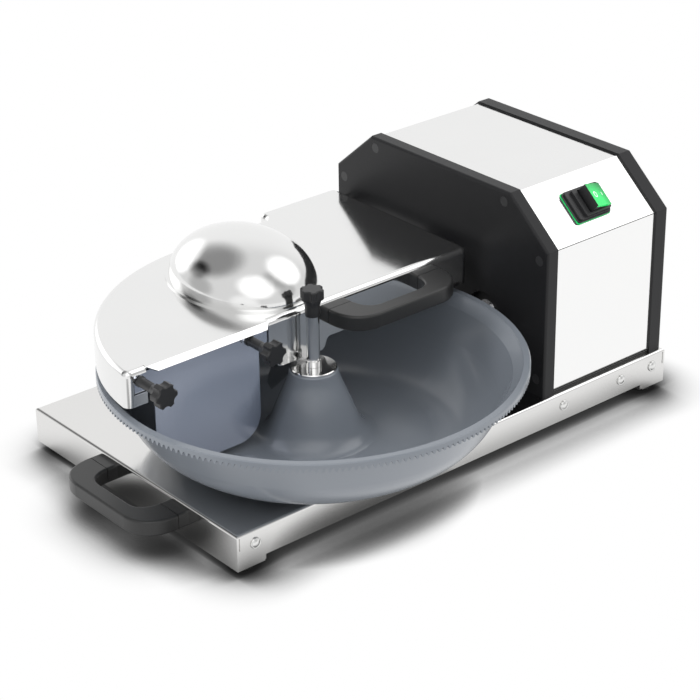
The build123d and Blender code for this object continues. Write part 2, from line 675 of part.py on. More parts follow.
# ================================================================ housing
def plate_points(inset=0.0, foot=0.0):
    """Chamfered outline of the housing in (y, z), drawn in by an inset."""
    y_from, y_to = Y0 + HOUSE_Y + inset, Y0 + HOUSE_Y + HOUSE_W - inset
    top = Z0 + HOUSE_H - inset
    angle = atan2(CHAMFER_Z, CHAMFER_Y)
    dy = CHAMFER_Y - inset * tan(angle / 2)
    dz = CHAMFER_Z - inset * tan((pi / 2 - angle) / 2)
    low = Z0 + foot
    return [
        (y_from, low), (y_to, low), (y_to, top - dz), (y_to - dy, top),
        (y_from + dy, top), (y_from, top - dz),
    ]


def rod_places():
    """Tie rod centres in (y, z): two by each chamfer and two near the floor."""
    half = HOUSE_W / 2
    middle = Y0 + HOUSE_Y + half
    spots = [(half - 14, HOUSE_H - 72), (half - 77, HOUSE_H - 14), (half - 14, 22)]
    return [(middle + side * dy, Z0 + dz) for side in (-1, 1) for dy, dz in spots]


def end_plate(x_from, x_to, out):
    """Housing end plate with rounded outer edge and blind pockets for the plugs."""
    plate = prism_x(plate_points(), x_from, x_to)
    face_x = x_from if out < 0 else x_to
    rims = [e for e in plate.edges() if abs(e.center().X - face_x) < 0.01 and e.center().Z > Z0 + 1]
    plate = fillet(rims, PLATE_ROUND)
    inner = x_to if out < 0 else x_from
    seat = face_x - out * PLUG_T
    for y, z in rod_places():
        plate -= rod_x(PLUG_R, min(face_x, seat), max(face_x, seat), y, z)
        plate -= rod_x(ROD_R + ROD_HOLE, min(inner, seat), max(inner, seat), y, z)
    return plate


def front_end_plate():
    plate = end_plate(PX0, PX1, -1)
    z = Z0 + PINION_Z
    plate -= rod_x(RECESS_R, PX0 - 1, PX0 + RECESS_D, BY, z)
    plate -= rod_x(BEARING_R + SEAT, PX0 - 1, PX1 + 1, BY, z)
    plate -= rod_x(NOSE_R + SEAT, PX0 - 1, PX1 + 1, KY, KZ)
    plate -= rod_x(HINGE_R + SEAT, PX0 - 1, PX0 + HINGE_SOCKET, HINGE_Y, HINGE_Z)
    return plate


def rear_end_plate():
    plate = end_plate(RX0, RX1, 1)
    plate -= rod_x(GLAND_R + SEAT, RX0 - 1, RX1 + 1, GLAND_Y, GLAND_Z)
    for k in range(VENTS):
        z = Z0 + VENT_Z + k * VENT_STEP
        slot = extrude(
            Plane(origin=(RX0 - 1, Y0 + VENT_Y, z), x_dir=(0, 1, 0), z_dir=(1, 0, 0))
            * SlotOverall(VENT_L, VENT_H), REAR_PLATE_T + 2
        )
        plate -= slot
    return plate


def end_plate_plugs():
    plugs = []
    for face_x, out in ((PX0, -1), (RX1, 1)):
        for y, z in rod_places():
            far = face_x - out * PLUG_T
            plugs.append(rod_x(PLUG_R - ROD_HOLE, min(face_x, far), max(face_x, far), y, z))
    return plugs


def tie_rods():
    x_from, x_to = PX0 + PLUG_T, RX1 - PLUG_T
    return [rod_x(ROD_R, x_from, x_to, y, z) for y, z in rod_places()]


def housing_top_skin():
    """Folded sheet over the top and both chamfers."""
    outer = plate_points(SKIN_INSET)
    inner = plate_points(SKIN_INSET + SKIN_T)
    ring = outer[2:] + inner[2:][::-1]
    skin = prism_x(ring, PX1, RX0)
    hole = Pos(ROCKER_X, 0, 0) * Box(SWITCH_BODY_L + 0.6, SWITCH_BODY_W + 0.6, 3 * SKIN_T + 3)
    return skin - switch_place() * hole


def side_panel(side):
    outer = plate_points(SKIN_INSET)
    y_out = outer[0][0] if side < 0 else outer[1][0]
    y_in = y_out - side * SKIN_T
    top = plate_points(SKIN_INSET + SKIN_T)[2][1] - PANEL_GAP
    return block(PX1, RX0, min(y_out, y_in), max(y_out, y_in), Z0 + PLINTH_H, top)


def plinth_strip(side):
    """Ribbed rubber strip between the panel's foot and the tray."""
    outer = plate_points(SKIN_INSET)
    y_out = outer[0][0] if side < 0 else outer[1][0]
    y_in = y_out - side * PLINTH_T
    strip = block(PX1, RX0, min(y_out, y_in), max(y_out, y_in), Z0, Z0 + PLINTH_H)
    for z in (2.0, 4.0):
        y_cut = y_out - side * 0.8
        strip -= block(PX1, RX0, min(y_out, y_cut), max(y_out, y_cut), Z0 + z - 0.4, Z0 + z + 0.4)
    return strip


# ================================================================ switch
def switch_place():
    """Frame on the front chamfer's skin: X along the machine, Y up the slope, Z outwards."""
    length = sqrt(CHAMFER_Y**2 + CHAMFER_Z**2)
    up = (0, CHAMFER_Y / length, CHAMFER_Z / length)
    out = (0, -CHAMFER_Z / length, CHAMFER_Y / length)
    foot = (PX0 + SWITCH_FROM_PLATE, Y0 + HOUSE_Y, Z0 + HOUSE_H - CHAMFER_Z)
    spot = [foot[i] + up[i] * SWITCH_S - out[i] * SKIN_INSET for i in range(3)]
    return Plane(origin=tuple(spot), x_dir=(1, 0, 0), z_dir=out).location


def plate_on(length, width, z_from, z_to, corner, shift=0.0):
    outline = Pos(shift, 0) * RectangleRounded(length, width, corner)
    return Pos(0, 0, z_from) * extrude(outline, z_to - z_from)


def switch_bezel():
    """Stepped frame with a raised collar round the rocker."""
    bezel = plate_on(SWITCH_L, SWITCH_W, 0, 3.5, 5)
    bezel += plate_on(SWITCH_L - 4, SWITCH_W - 3, 3.5, 7, 4)
    bezel += plate_on(SWITCH_L - 13, SWITCH_W - 6, 7, BEZEL_H, 3.5, 4.0)
    return switch_place() * (bezel - rocker_well(BEZEL_H + 1))


def switch_body():
    """Switch mechanism behind the skin, with six blade terminals."""
    body = Box(SWITCH_BODY_L, SWITCH_BODY_W, SWITCH_BODY_D, align=(Align.CENTER, Align.CENTER, Align.MAX))
    for u in (-9, 0, 9):
        for v in (-6, 6):
            body += Pos(u, v, -SWITCH_BODY_D - 4) * Box(0.8, 6.3, 8.4)
    body = Pos(ROCKER_X, 0, 0) * body - rocker_well(1)
    pin_bore = rocker_pin(ROCKER_PIN_R + RUN, ROCKER_W + 2 * ROCKER_PIN_OUT + 2 * ROCKER_PLAY)
    return switch_place() * (body - pin_bore)


def rocker_well(top):
    """Pocket that the rocker tilts in, with room for its raised end to swing."""
    well = Box(
        ROCKER_L + ROCKER_PLAY + ROCKER_SWING, ROCKER_W + 2 * ROCKER_PLAY, ROCKER_SINK + top,
        align=(Align.MIN, Align.CENTER, Align.MIN),
    )
    return Pos(ROCKER_X - ROCKER_L / 2 - ROCKER_SWING, 0, -ROCKER_SINK) * well


def rocker_outline():
    """Side view of the rocker in its own frame: x along the machine, y outwards."""
    return [
        (-ROCKER_L / 2, 3.0), (-5.0, ROCKER_PIVOT - 4), (5.0, ROCKER_PIVOT - 4), (ROCKER_L / 2, 1.0),
        (ROCKER_L / 2, ROCKER_LOW), (2 - ROCKER_L / 2, ROCKER_HIGH),
    ]


def rocker_slab(points, width):
    face = make_face(Polyline(*points, close=True))
    plane = Plane(origin=(ROCKER_X, 0, 0), x_dir=(1, 0, 0), z_dir=(0, -1, 0))
    return extrude(plane * face, width / 2, both=True)


def rocker_pin(radius, length):
    """Pivot across the rocker, in the switch's own frame."""
    plane = Plane(origin=(ROCKER_X, 0, ROCKER_PIVOT), x_dir=(1, 0, 0), z_dir=(0, 1, 0))
    return extrude(plane * Circle(radius), length / 2, both=True)


def switch_rocker():
    """Rocker pressed to its on side, with its pivot, without the lens that fills its top."""
    body = rocker_slab(rocker_outline(), ROCKER_W) - lens_shape()
    return switch_place() * (body + rocker_pin(ROCKER_PIN_R, ROCKER_W + 2 * ROCKER_PIN_OUT))


def lens_shape():
    high, low, half = ROCKER_HIGH, ROCKER_LOW, ROCKER_L / 2
    left = 2 - half
    points = [(left, high - LENS_T), (half, low - LENS_T), (half, low), (left, high)]
    return rocker_slab(points, ROCKER_W)


# ================================================================ motor and drive
def bearing_plate():
    plate = prism_x(plate_points(10.0), BRG_X0, BRG_X1)
    for y, z in rod_places():
        plate -= rod_x(ROD_R + ROD_HOLE, BRG_X0 - 1, BRG_X1 + 1, y, z)
    plate -= rod_x(BEARING_R + SEAT, BRG_X0 - 1, BRG_X1 + 1, BY, Z0 + PINION_Z)
    plate -= rod_x(BEARING_R + SEAT, BRG_X0 - 1, BRG_X1 + 1, KY, KZ)
    plate -= rod_x(MOTOR_SHAFT_R + 2, BRG_X0 - 1, BRG_X1 + 1, MOTOR_Y, MOTOR_Z)
    return plate


def motor_body():
    """Finned motor shell, bolted to the bearing plate."""
    fins = gear_points(MOTOR_FINS, MOTOR_R - 3, 3, 3, 2 * pi * (MOTOR_R - 3) / MOTOR_FINS * 0.45, 8)
    body = Pos(0, MOTOR_Y, MOTOR_Z) * prism_x(fins, MOTOR_X0, BRG_X0 - 10)
    body += rod_x(MOTOR_R, BRG_X0 - 10, BRG_X0, MOTOR_Y, MOTOR_Z)
    body += rod_x(MOTOR_R, MOTOR_X0 - 6, MOTOR_X0, MOTOR_Y, MOTOR_Z)
    return body - rod_x(MOTOR_SHAFT_R + RUN, MOTOR_X0 + 4, BRG_X0 + 1, MOTOR_Y, MOTOR_Z)


def motor_end_bell():
    bell = rod_x(MOTOR_R - 8, MOTOR_X0 - 12, MOTOR_X0 - 6, MOTOR_Y, MOTOR_Z)
    return bell


def capacitor():
    y, z = Y0 + CAPACITOR_Y, Z0 + CAPACITOR_Z
    can = rod_x(CAPACITOR_R, BRG_X0 - CAPACITOR_L, BRG_X0, y, z)
    return can


def bearing_ring(x_from, x_to, y, z, bore):
    return rod_x(BEARING_R, x_from, x_to, y, z) - rod_x(bore + RUN, x_from - 1, x_to + 1, y, z)


def bearing_nose():
    """Tube through the front end plate that carries the knife shaft's front bearing."""
    tube = rod_x(NOSE_R, PX0 - NOSE_L, PX1, KY, KZ) + rod_x(NOSE_R + 8, PX1, PX1 + 5, KY, KZ)
    tube -= rod_x(KNIFE_SHAFT_R + 1, PX0 - NOSE_L - 1, PX1 + 6, KY, KZ)
    return tube - rod_x(BEARING_R + SEAT, PX0 - NOSE_L - 1, PX0 - NOSE_L + BEARING_W, KY, KZ)


def pulley(x_from, x_to, y, z, radius, bore):
    """Belt pulley with a flange on each side."""
    wheel = rod_x(radius, x_from + 1.5, x_to - 1.5, y, z)
    wheel += rod_x(radius + 3, x_from, x_from + 1.5, y, z) + rod_x(radius + 3, x_to - 1.5, x_to, y, z)
    return wheel - rod_x(bore, x_from - 1, x_to + 1, y, z)


def motor_pulley():
    wheel = pulley(BELT1_X0, BELT1_X1, MOTOR_Y, MOTOR_Z, KNIFE_PULLEY_R, MOTOR_SHAFT_R)
    return wheel + pulley(BELT2_X0, BELT2_X1, MOTOR_Y, MOTOR_Z, SMALL_PULLEY_R, MOTOR_SHAFT_R)


def belt(x_from, x_to, first, first_r, second, second_r):
    """Closed belt round two pulleys, its inside just clear of their lands."""
    loops = []
    for grow in (FREE, FREE + BELT_T):
        circles = [Pos(*first) * Circle(first_r + grow), Pos(*second) * Circle(second_r + grow)]
        loops.append(make_hull((circles[0] + circles[1]).edges()))
    plane = Plane(origin=(x_from, 0, 0), x_dir=(0, 1, 0), z_dir=(1, 0, 0))
    return extrude(plane * (loops[1] - loops[0]), x_to - x_from)


def cable_gland():
    """Gland with its nut inside and hexagon and dome outside."""
    body = rod_x(GLAND_R, RX0 - 8, RX1, GLAND_Y, GLAND_Z)
    outer = Plane(origin=(RX1, GLAND_Y, GLAND_Z), x_dir=(0, 1, 0), z_dir=(1, 0, 0))
    body += extrude(outer * RegularPolygon(GLAND_R + 3, 6), 5)
    body += rod_x(GLAND_R + 0.5, RX1 + 5, RX1 + GLAND_OUT, GLAND_Y, GLAND_Z)
    nut = Plane(origin=(RX0 - 5, GLAND_Y, GLAND_Z), x_dir=(0, 1, 0), z_dir=(1, 0, 0))
    body += extrude(nut * RegularPolygon(GLAND_R + 3, 6), 5)
    return body - rod_x(GLAND_BORE_R, RX0 - 9, RX1 + GLAND_OUT + 1, GLAND_Y, GLAND_Z)


# ================================================================ knife
def knife_shaft():
    return rod_x(KNIFE_SHAFT_R, KX - KNIFE_SHAFT_IN, BELT1_X1 + 3, KY, KZ)


def blade(turn, x_from):
    """Sickle blade: an eye round the shaft and a curved edge out to the tip circle."""
    def polar(radius, angle):
        a = radians(angle)
        return (radius * cos(a), radius * sin(a))

    edge = Spline(
        polar(24, -55), polar(58, -25), polar(86, 12), polar(KNIFE_R, 62),
        tangents=((0.85, 0.15), (-0.72, 0.7)),
    )
    tip = Line(polar(KNIFE_R, 62), polar(KNIFE_R - 10, 64))
    back = Spline(
        polar(KNIFE_R - 10, 64), polar(66, 40), polar(42, 42), polar(24, 90),
        tangents=((0.2, -1), (-1, 0.4)),
    )
    close = Line(polar(24, 90), polar(24, -55))
    blade_face = make_face(Wire([edge, tip, back, close])) + Circle(KNIFE_HUB_R + 3)
    blade_face -= Circle(SLEEVE_R + 0.1)
    plane = Plane(origin=(x_from, KY, KZ), x_dir=(0, 1, 0), z_dir=(1, 0, 0))
    return extrude(plane * (Rot(Z=turn) * blade_face), KNIFE_T)


def knife_hub():
    """Driving flange and the sleeve that the blades sit on."""
    x_face = KX + BLADE_GAP / 2 + KNIFE_T
    x_flange = x_face + HUB_FLANGE_T
    hub = rod_x(KNIFE_HUB_R, x_face, x_flange, KY, KZ)
    hub += rod_x(KNIFE_HUB_R - 6, x_flange, x_flange + HUB_BOSS_T, KY, KZ)
    hub += rod_x(SLEEVE_R, KX - BLADE_GAP / 2 - KNIFE_T, x_face, KY, KZ)
    return hub - rod_x(KNIFE_SHAFT_R, KX - 30, x_flange + HUB_BOSS_T + 1, KY, KZ)


def knife_spacer():
    x_from = KX - BLADE_GAP / 2
    ring = rod_x(KNIFE_HUB_R, x_from, x_from + BLADE_GAP, KY, KZ)
    return ring - rod_x(SLEEVE_R + 0.1, x_from - 1, x_from + BLADE_GAP + 1, KY, KZ)


def knife_nut():
    x_face = KX - BLADE_GAP / 2 - KNIFE_T
    plane = Plane(origin=(x_face, KY, KZ), x_dir=(0, 1, 0), z_dir=(-1, 0, 0))
    nut = extrude(plane * Circle(KNIFE_HUB_R - 2), NUT_WASHER_T)
    nut += extrude(plane * RegularPolygon(KNIFE_HUB_R - 4, 6), NUT_T)
    return nut - rod_x(KNIFE_SHAFT_R, KX - 30, x_face + 1, KY, KZ)


# ================================================================ lid
def lid_outline(inset):
    """Plan of the lid: half disc about the bowl axis on the left, box beside the housing."""
    radius = LID_R - inset
    front = LID_FRONT - BOWL_FROM_FRONT + inset
    back_wide = LID_BACK - BOWL_FROM_FRONT - inset
    wide_x = LID_WIDE_X - BOWL_FROM_END + inset
    end_x = LID_END_X - BOWL_FROM_END - inset
    corner_x = -sqrt(radius**2 - front**2)
    mid = (radius * cos(radians(135)), radius * sin(radians(135)))
    edges = [
        Line((end_x, front), (corner_x, front)),
        ThreePointArc((corner_x, front), mid, (0, radius)),
        Line((0, radius), (wide_x, radius)),
        Line((wide_x, radius), (wide_x, back_wide)),
        Line((wide_x, back_wide), (end_x, back_wide)),
        Line((end_x, back_wide), (end_x, front)),
    ]
    face = make_face(Wire(edges))
    corners = [v for v in face.vertices() if abs(v.X) > 1]
    convex = [v for v in corners if not (abs(v.X - wide_x) < 1 and abs(v.Y - radius) < 1)]
    face = fillet(convex, LID_CORNER - inset)
    inner = [v for v in face.vertices() if abs(v.X - wide_x) < 1 and abs(v.Y - radius) < 1]
    return fillet(inner, LID_CORNER + inset)


def lid_bulk(inset):
    low = LID_TONGUE_Z if inset == 0 else LID_TONGUE_Z - 1
    height = LID_TOP - inset - low
    bulk = Pos(BX, BY, Z0 + low) * extrude(lid_outline(inset), height)
    return fillet(bulk.edges().group_by(Axis.Z)[-1], LID_ROLL - inset)


def front_wall_edge():
    """What is cut from the front wall, in (x, z): everything under its lower edge."""
    low, wall, tongue = LID_TONGUE_Z - 5, LID_WALL_Z, LID_TONGUE_Z
    x0, x1 = X0 + GAP_X1 + TONGUE_START, X0 + GAP_X1 + TONGUE_START + TONGUE_L
    step, corner = TONGUE_EASE, TONGUE_CORNER
    rise = wall - tongue
    slack = corner * (1 - cos(radians(45)))
    edges = [
        Line((x1, Z0 + tongue), (x0 + corner, Z0 + tongue)),
        ThreePointArc(
            (x0 + corner, Z0 + tongue), (x0 + slack, Z0 + tongue + slack),
            (x0, Z0 + tongue + corner),
        ),
        Line((x0, Z0 + tongue + corner), (x0, Z0 + LID_SKIRT_Z)),
        Line((x0, Z0 + LID_SKIRT_Z), (X0 + GAP_X1 - 4, Z0 + LID_SKIRT_Z)),
        Line((X0 + GAP_X1 - 4, Z0 + LID_SKIRT_Z), (X0 + GAP_X1 - 4, Z0 + low)),
        Line((X0 + GAP_X1 - 4, Z0 + low), (X0 + LID_END_X + 5, Z0 + low)),
        Line((X0 + LID_END_X + 5, Z0 + low), (X0 + LID_END_X + 5, Z0 + wall)),
        Line((X0 + LID_END_X + 5, Z0 + wall), (x1 + step, Z0 + wall)),
        Spline(
            (x1 + step, Z0 + wall), (x1 + step / 2, Z0 + tongue + rise / 2), (x1, Z0 + tongue),
            tangents=((-1, 0), (-1, 0)),
        ),
    ]
    return make_face(Wire(edges))


def lid_shell():
    shell = lid_bulk(0.0) - lid_bulk(LID_T)
    y_wall = Y0 + LID_FRONT
    y_in = y_wall + LID_T
    x_end = X0 + LID_END_X
    far = BX - LID_R - 5
    deep = Z0 + LID_TONGUE_Z - 14
    shell -= block(far, x_end + 5, y_in + 0.5, Y0 + LID_BACK + 5, deep, Z0 + LID_SKIRT_Z)
    shell -= block(
        BX - 10, X0 + LID_WIDE_X - 1, BY + LID_R - 12, BY + LID_R + 5,
        deep, Z0 + LID_SKIRT_Z + BACK_RAISE,
    )
    wall_plane = Plane(origin=(0, y_in + 1, 0), x_dir=(1, 0, 0), z_dir=(0, -1, 0))
    shell -= extrude(wall_plane * front_wall_edge(), 10)
    shell -= block(far, X0 + GAP_X0 + 1, y_wall - 1, y_in + 1, deep, Z0 + LID_SKIRT_Z)
    shell -= block(
        x_end - LID_T - 1, x_end + 1, y_in, Y0 + LID_BACK - LID_T,
        deep, Z0 + LID_TOP - END_FLANGE,
    )
    shell -= block(
        x_end - LID_T - 1, x_end + 1, HINGE_Y - HINGE_R - 1, HINGE_Y + HINGE_R + 1,
        deep, HINGE_Z + HINGE_R + 1,
    )
    shell -= block(
        X0 + GAP_X0, X0 + GAP_X1, y_wall - 1, y_wall + LID_ROLL + 1, deep, Z0 + LID_TOP + 1
    )
    shell -= block(
        X0 + GAP_X0 - NOTCH_W, X0 + GAP_X0, y_wall - 1, y_in + 0.1,
        Z0 + NOTCH_Z, Z0 + LID_TOP - LID_ROLL + 1,
    )
    shell += block(
        X0 + GAP_X0, X0 + GAP_X1, y_wall, y_wall + LID_ROLL + 1, Z0 + LID_TOP - LID_T, Z0 + LID_TOP
    )
    shell += lid_lip()
    for x in GUARD_KNOB_X:
        shell += block(
            X0 + x - TAB_HALF, X0 + x + TAB_HALF, TAB_Y, TAB_Y + LID_T,
            Z0 + GUARD_KNOB_Z - 12, Z0 + LID_TOP - LID_T,
        )
        shell += guard_stud(x)
    hole = scale(Circle(1), by=(DOME_A - DOME_T, DOME_B - DOME_T, 1))
    shell -= Pos(KX, KY, Z0 + LID_TOP - 10) * extrude(hole, 20)
    for x in lid_handle_bolt_xs():
        shell -= rod_y(HANDLE_BOLT_R + 0.2, x, y_wall - 1, y_in + 1, LID_HANDLE_Z)
    return shell


def lid_lip():
    """Folded lip along the opening, leaning out over the guard."""
    plane = Plane(
        origin=(X0, Y0 + LID_FRONT, Z0 + LID_TOP), x_dir=(1, 0, 0), z_dir=(0, -1, 1)
    )
    width = LIP_REACH * sqrt(2)
    points = [
        (GAP_X0, 0), (GAP_X0 + LIP_TAPER + 5, -width), (GAP_X1 - LIP_TAPER, -width), (GAP_X1, 0),
    ]
    return extrude(plane * make_face(Polyline(*points, close=True)), -LID_T)


def knife_dome():
    """Half-ellipsoid cover over the knife's top, on an oval flange."""
    place = Pos(KX, KY, Z0 + LID_TOP)
    outer = scale(Sphere(1), by=(DOME_A, DOME_B, DOME_H))
    inner = scale(Sphere(1), by=(DOME_A - DOME_T, DOME_B - DOME_T, DOME_H - DOME_T))
    flange = extrude(scale(Circle(1), by=(DOME_A + DOME_FLANGE, DOME_B + DOME_FLANGE, 1)), DOME_T)
    shell = (outer + flange) - inner
    room = 2 * (DOME_B + DOME_FLANGE) + 10
    keep = Pos(0, 0, (DOME_H + 10) / 2) * Box(room, room, DOME_H + 10)
    return place * (shell & keep)


def guard_plate():
    """Flat plate cut to the bowl's section, with an ear for each stud."""
    arc_z = BOWL_CLEAR + BOWL_T + TROUGH_ARC
    radius = TROUGH_ARC - GUARD_GAP
    left_x = -TROUGH_R - radius + GUARD_LEFT_IN
    drop = sqrt(radius**2 - (-left_x - TROUGH_R) ** 2)
    low = arc_z - radius
    corner = GUARD_CORNER
    slack = corner * (1 - cos(radians(45)))
    right_x = GUARD_X1 - BOWL_FROM_END
    ear_z, top = NOTCH_Z + 1, LID_TOP - LID_ROLL + 1
    ear_l = GUARD_KNOB_X[0] - 6 - BOWL_FROM_END
    ear_r = GAP_X1 - 1 - BOWL_FROM_END
    turn = radians(45) + atan2(drop, -left_x - TROUGH_R) / 2
    mid = (-TROUGH_R - radius * cos(turn), arc_z - radius * sin(turn))
    knee = (right_x - slack, low + slack)
    edges = [
        Line((left_x, ear_z), (left_x, arc_z - drop)),
        ThreePointArc((left_x, arc_z - drop), mid, (-TROUGH_R, low)),
        Line((-TROUGH_R, low), (right_x - corner, low)),
        ThreePointArc((right_x - corner, low), knee, (right_x, low + corner)),
        Line((right_x, low + corner), (right_x, ear_z)),
        Line((right_x, ear_z), (ear_r, ear_z)),
        Line((ear_r, ear_z), (ear_r, top)),
        Line((ear_r, top), (ear_l, top)),
        Line((ear_l, top), (ear_l, ear_z)),
        Line((ear_l, ear_z), (left_x, ear_z)),
    ]
    face = make_face(Wire(edges))
    plane = Plane(origin=(BX, GUARD_Y + GUARD_T, Z0), x_dir=(1, 0, 0), z_dir=(0, -1, 0))
    plate = extrude(plane * face, GUARD_T)
    for x in GUARD_KNOB_X:
        plate -= rod_y(STUD_R + FREE, X0 + x, GUARD_Y - 1, GUARD_Y + GUARD_T + 1, Z0 + GUARD_KNOB_Z)
    return plate


def guard_stud(x):
    """Stud welded to a tab behind the guard."""
    return rod_y(STUD_R, X0 + x, GUARD_Y - STUD_L, TAB_Y, Z0 + GUARD_KNOB_Z)


def guard_washer(x):
    y_to = GUARD_Y
    ring = rod_y(KNOB_FOOT_R, X0 + x, y_to - WASHER_T, y_to, Z0 + GUARD_KNOB_Z)
    return ring - rod_y(STUD_R + FREE, X0 + x, y_to - WASHER_T - 1, y_to + 1, Z0 + GUARD_KNOB_Z)


def guard_knob(x):
    knob = star_knob(STUD_R + RUN, KNOB_FOOT_R, KNOB_NECK_R, KNOB_NECK, KNOB_R, KNOB_H)
    return Pos(X0 + x, GUARD_Y - WASHER_T, Z0 + GUARD_KNOB_Z) * Rot(X=90) * knob


def lid_handle_bolt_xs():
    offset = HANDLE_W / 2 - HANDLE_LEG / 2
    return (X0 + LID_HANDLE_X - offset, X0 + LID_HANDLE_X + offset)


def hinge_knuckle(x_from, x_to):
    """Block under the lid top, bored for the pin."""
    top = Z0 + LID_TOP - LID_T
    body = block(x_from, x_to, HINGE_Y - KNUCKLE_R, HINGE_Y + 4, HINGE_Z, top)
    body += rod_x(KNUCKLE_R, x_from, x_to, HINGE_Y, HINGE_Z)
    return body - rod_x(HINGE_R + RUN, x_from - 1, x_to + 1, HINGE_Y, HINGE_Z)


def hinge_pin():
    pin = rod_x(HINGE_R, PX0 - HINGE_L, PX0 + HINGE_SOCKET, HINGE_Y, HINGE_Z)
    return pin


# ================================================================ build
os.makedirs("parts", exist_ok=True)

save("base_tray", base_tray())
save("corner_brackets", *[corner_bracket(x, y) for x, y in foot_places()])
save("rubber_feet", *[rubber_foot(x, y) for x, y in foot_places()])
save("foot_bolts", *[foot_bolt(x, y) for x, y in foot_places()])
save("tray_screws", *tray_screws())

grip, caps, bolts = handle_set(Pos(X0, Y0 + BASE_HANDLE_Y, HANDLE_Z))
save("base_handle", grip)
save("base_handle_caps", *caps)
save("base_handle_bolts", *bolts)

save("bowl", bowl())
save("bowl_gear_ring", bowl_gear_ring())
save("bowl_hub_disc", bowl_hub_disc())
save("bowl_spindle", bowl_spindle())
save("bowl_bearing_housing", bowl_bearing_housing())
save("clamp_post", clamp_post())
save("clamp_knob", clamp_knob())

save("front_end_plate", front_end_plate())
save("rear_end_plate", rear_end_plate())
save("end_plate_plugs", *end_plate_plugs())
save("tie_rods", *tie_rods())
save("housing_top_skin", housing_top_skin())
save("front_side_panel", side_panel(-1))
save("back_side_panel", side_panel(1))
save("plinth_strips", plinth_strip(-1), plinth_strip(1))
save("switch_bezel", switch_bezel())
save("switch_body", switch_body())
save("switch_rocker", switch_rocker())
save("switch_lens", switch_place() * lens_shape())

save("bearing_plate", bearing_plate())
save("motor_body", motor_body())
save("motor_end_bell", motor_end_bell())
save("motor_shaft", rod_x(MOTOR_SHAFT_R, MOTOR_X0 + 4.3, BELT2_X1 + 2, MOTOR_Y, MOTOR_Z))
save("motor_pulley", motor_pulley())
save("capacitor", capacitor())
save("knife_belt", belt(
    BELT1_X0 + 2, BELT1_X1 - 2, (MOTOR_Y, MOTOR_Z), KNIFE_PULLEY_R, (KY, KZ), KNIFE_PULLEY_R
))
save("bowl_belt", belt(
    BELT2_X0 + 2, BELT2_X1 - 2, (MOTOR_Y, MOTOR_Z), SMALL_PULLEY_R, (BY, Z0 + PINION_Z), LARGE_PULLEY_R
))
save("cable_gland", cable_gland())

save("bearing_nose", bearing_nose())
save(
    "knife_bearings",
    bearing_ring(PX0 - NOSE_L, PX0 - NOSE_L + BEARING_W, KY, KZ, KNIFE_SHAFT_R),
    bearing_ring(BRG_X0, BRG_X1, KY, KZ, KNIFE_SHAFT_R),
)
save("knife_shaft", knife_shaft())
save("knife_pulley", pulley(BELT1_X0, BELT1_X1, KY, KZ, KNIFE_PULLEY_R, KNIFE_SHAFT_R))
save("knife_hub", knife_hub())
save("knife_blade_1", blade(0, KX - BLADE_GAP / 2 - KNIFE_T))
save("knife_blade_2", blade(180, KX + BLADE_GAP / 2))
save("knife_spacer", knife_spacer())
save("knife_nut", knife_nut())

save("pinion_gear", pinion())
save("pinion_shaft", rod_x(
    PINION_SHAFT_R, X0 + BOWL_FROM_END + RING_IN_R - 4, BELT2_X1 + 2, BY, Z0 + PINION_Z
))
save("bowl_pulley", pulley(BELT2_X0, BELT2_X1, BY, Z0 + PINION_Z, LARGE_PULLEY_R, PINION_SHAFT_R))
save(
    "pinion_bearings",
    bearing_ring(PX0 + RECESS_D, PX1, BY, Z0 + PINION_Z, PINION_SHAFT_R),
    bearing_ring(BRG_X0, BRG_X1, BY, Z0 + PINION_Z, PINION_SHAFT_R),
)

save("lid_shell", lid_shell())
save("knife_dome", knife_dome())
save("guard_plate", guard_plate())
save("guard_washers", *[guard_washer(x) for x in GUARD_KNOB_X])
save("guard_knob_left", guard_knob(GUARD_KNOB_X[0]))
save("guard_knob_right", guard_knob(GUARD_KNOB_X[1]))
save("lid_hinge_knuckles", *[hinge_knuckle(a, b) for a, b in KNUCKLES])
save("hinge_pin", hinge_pin())

lid_grip, lid_caps, lid_bolts = handle_set(
    Pos(X0 + LID_HANDLE_X, Y0 + LID_FRONT, LID_HANDLE_Z) * Rot(Z=90)
)
save("lid_handle", lid_grip)
save("lid_handle_caps", *lid_caps)
save("lid_handle_bolts", *lid_bolts)

for name, shape in parts.items():
    export_step(shape, f"parts/{name}.step")
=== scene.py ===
import json
from math import cos, pi, radians, sin

import bmesh
import bpy
from mathutils import Matrix, Vector


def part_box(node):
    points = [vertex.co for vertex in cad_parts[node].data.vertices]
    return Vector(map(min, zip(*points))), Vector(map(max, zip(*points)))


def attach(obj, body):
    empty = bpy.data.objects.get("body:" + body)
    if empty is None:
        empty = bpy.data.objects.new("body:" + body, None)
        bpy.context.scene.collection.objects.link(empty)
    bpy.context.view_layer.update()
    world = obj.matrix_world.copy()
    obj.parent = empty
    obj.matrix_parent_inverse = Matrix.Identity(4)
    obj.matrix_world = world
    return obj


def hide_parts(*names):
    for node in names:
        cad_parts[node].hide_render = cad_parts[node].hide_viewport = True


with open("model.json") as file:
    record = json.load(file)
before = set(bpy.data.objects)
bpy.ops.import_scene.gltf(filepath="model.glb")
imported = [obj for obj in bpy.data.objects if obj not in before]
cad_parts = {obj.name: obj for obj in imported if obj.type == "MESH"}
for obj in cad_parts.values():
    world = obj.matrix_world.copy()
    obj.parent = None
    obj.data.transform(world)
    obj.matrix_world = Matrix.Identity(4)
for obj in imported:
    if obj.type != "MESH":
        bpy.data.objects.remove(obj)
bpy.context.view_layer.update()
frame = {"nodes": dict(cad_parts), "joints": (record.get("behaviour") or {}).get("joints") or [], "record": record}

MM = 0.001
MATERIALS = {}


# ---------------------------------------------------------------- places from the frame
def span(node):
    """Lowest corner, highest corner and middle of a CAD node."""
    low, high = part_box(node)
    low, high = Vector(low), Vector(high)
    return low, high, (low + high) / 2


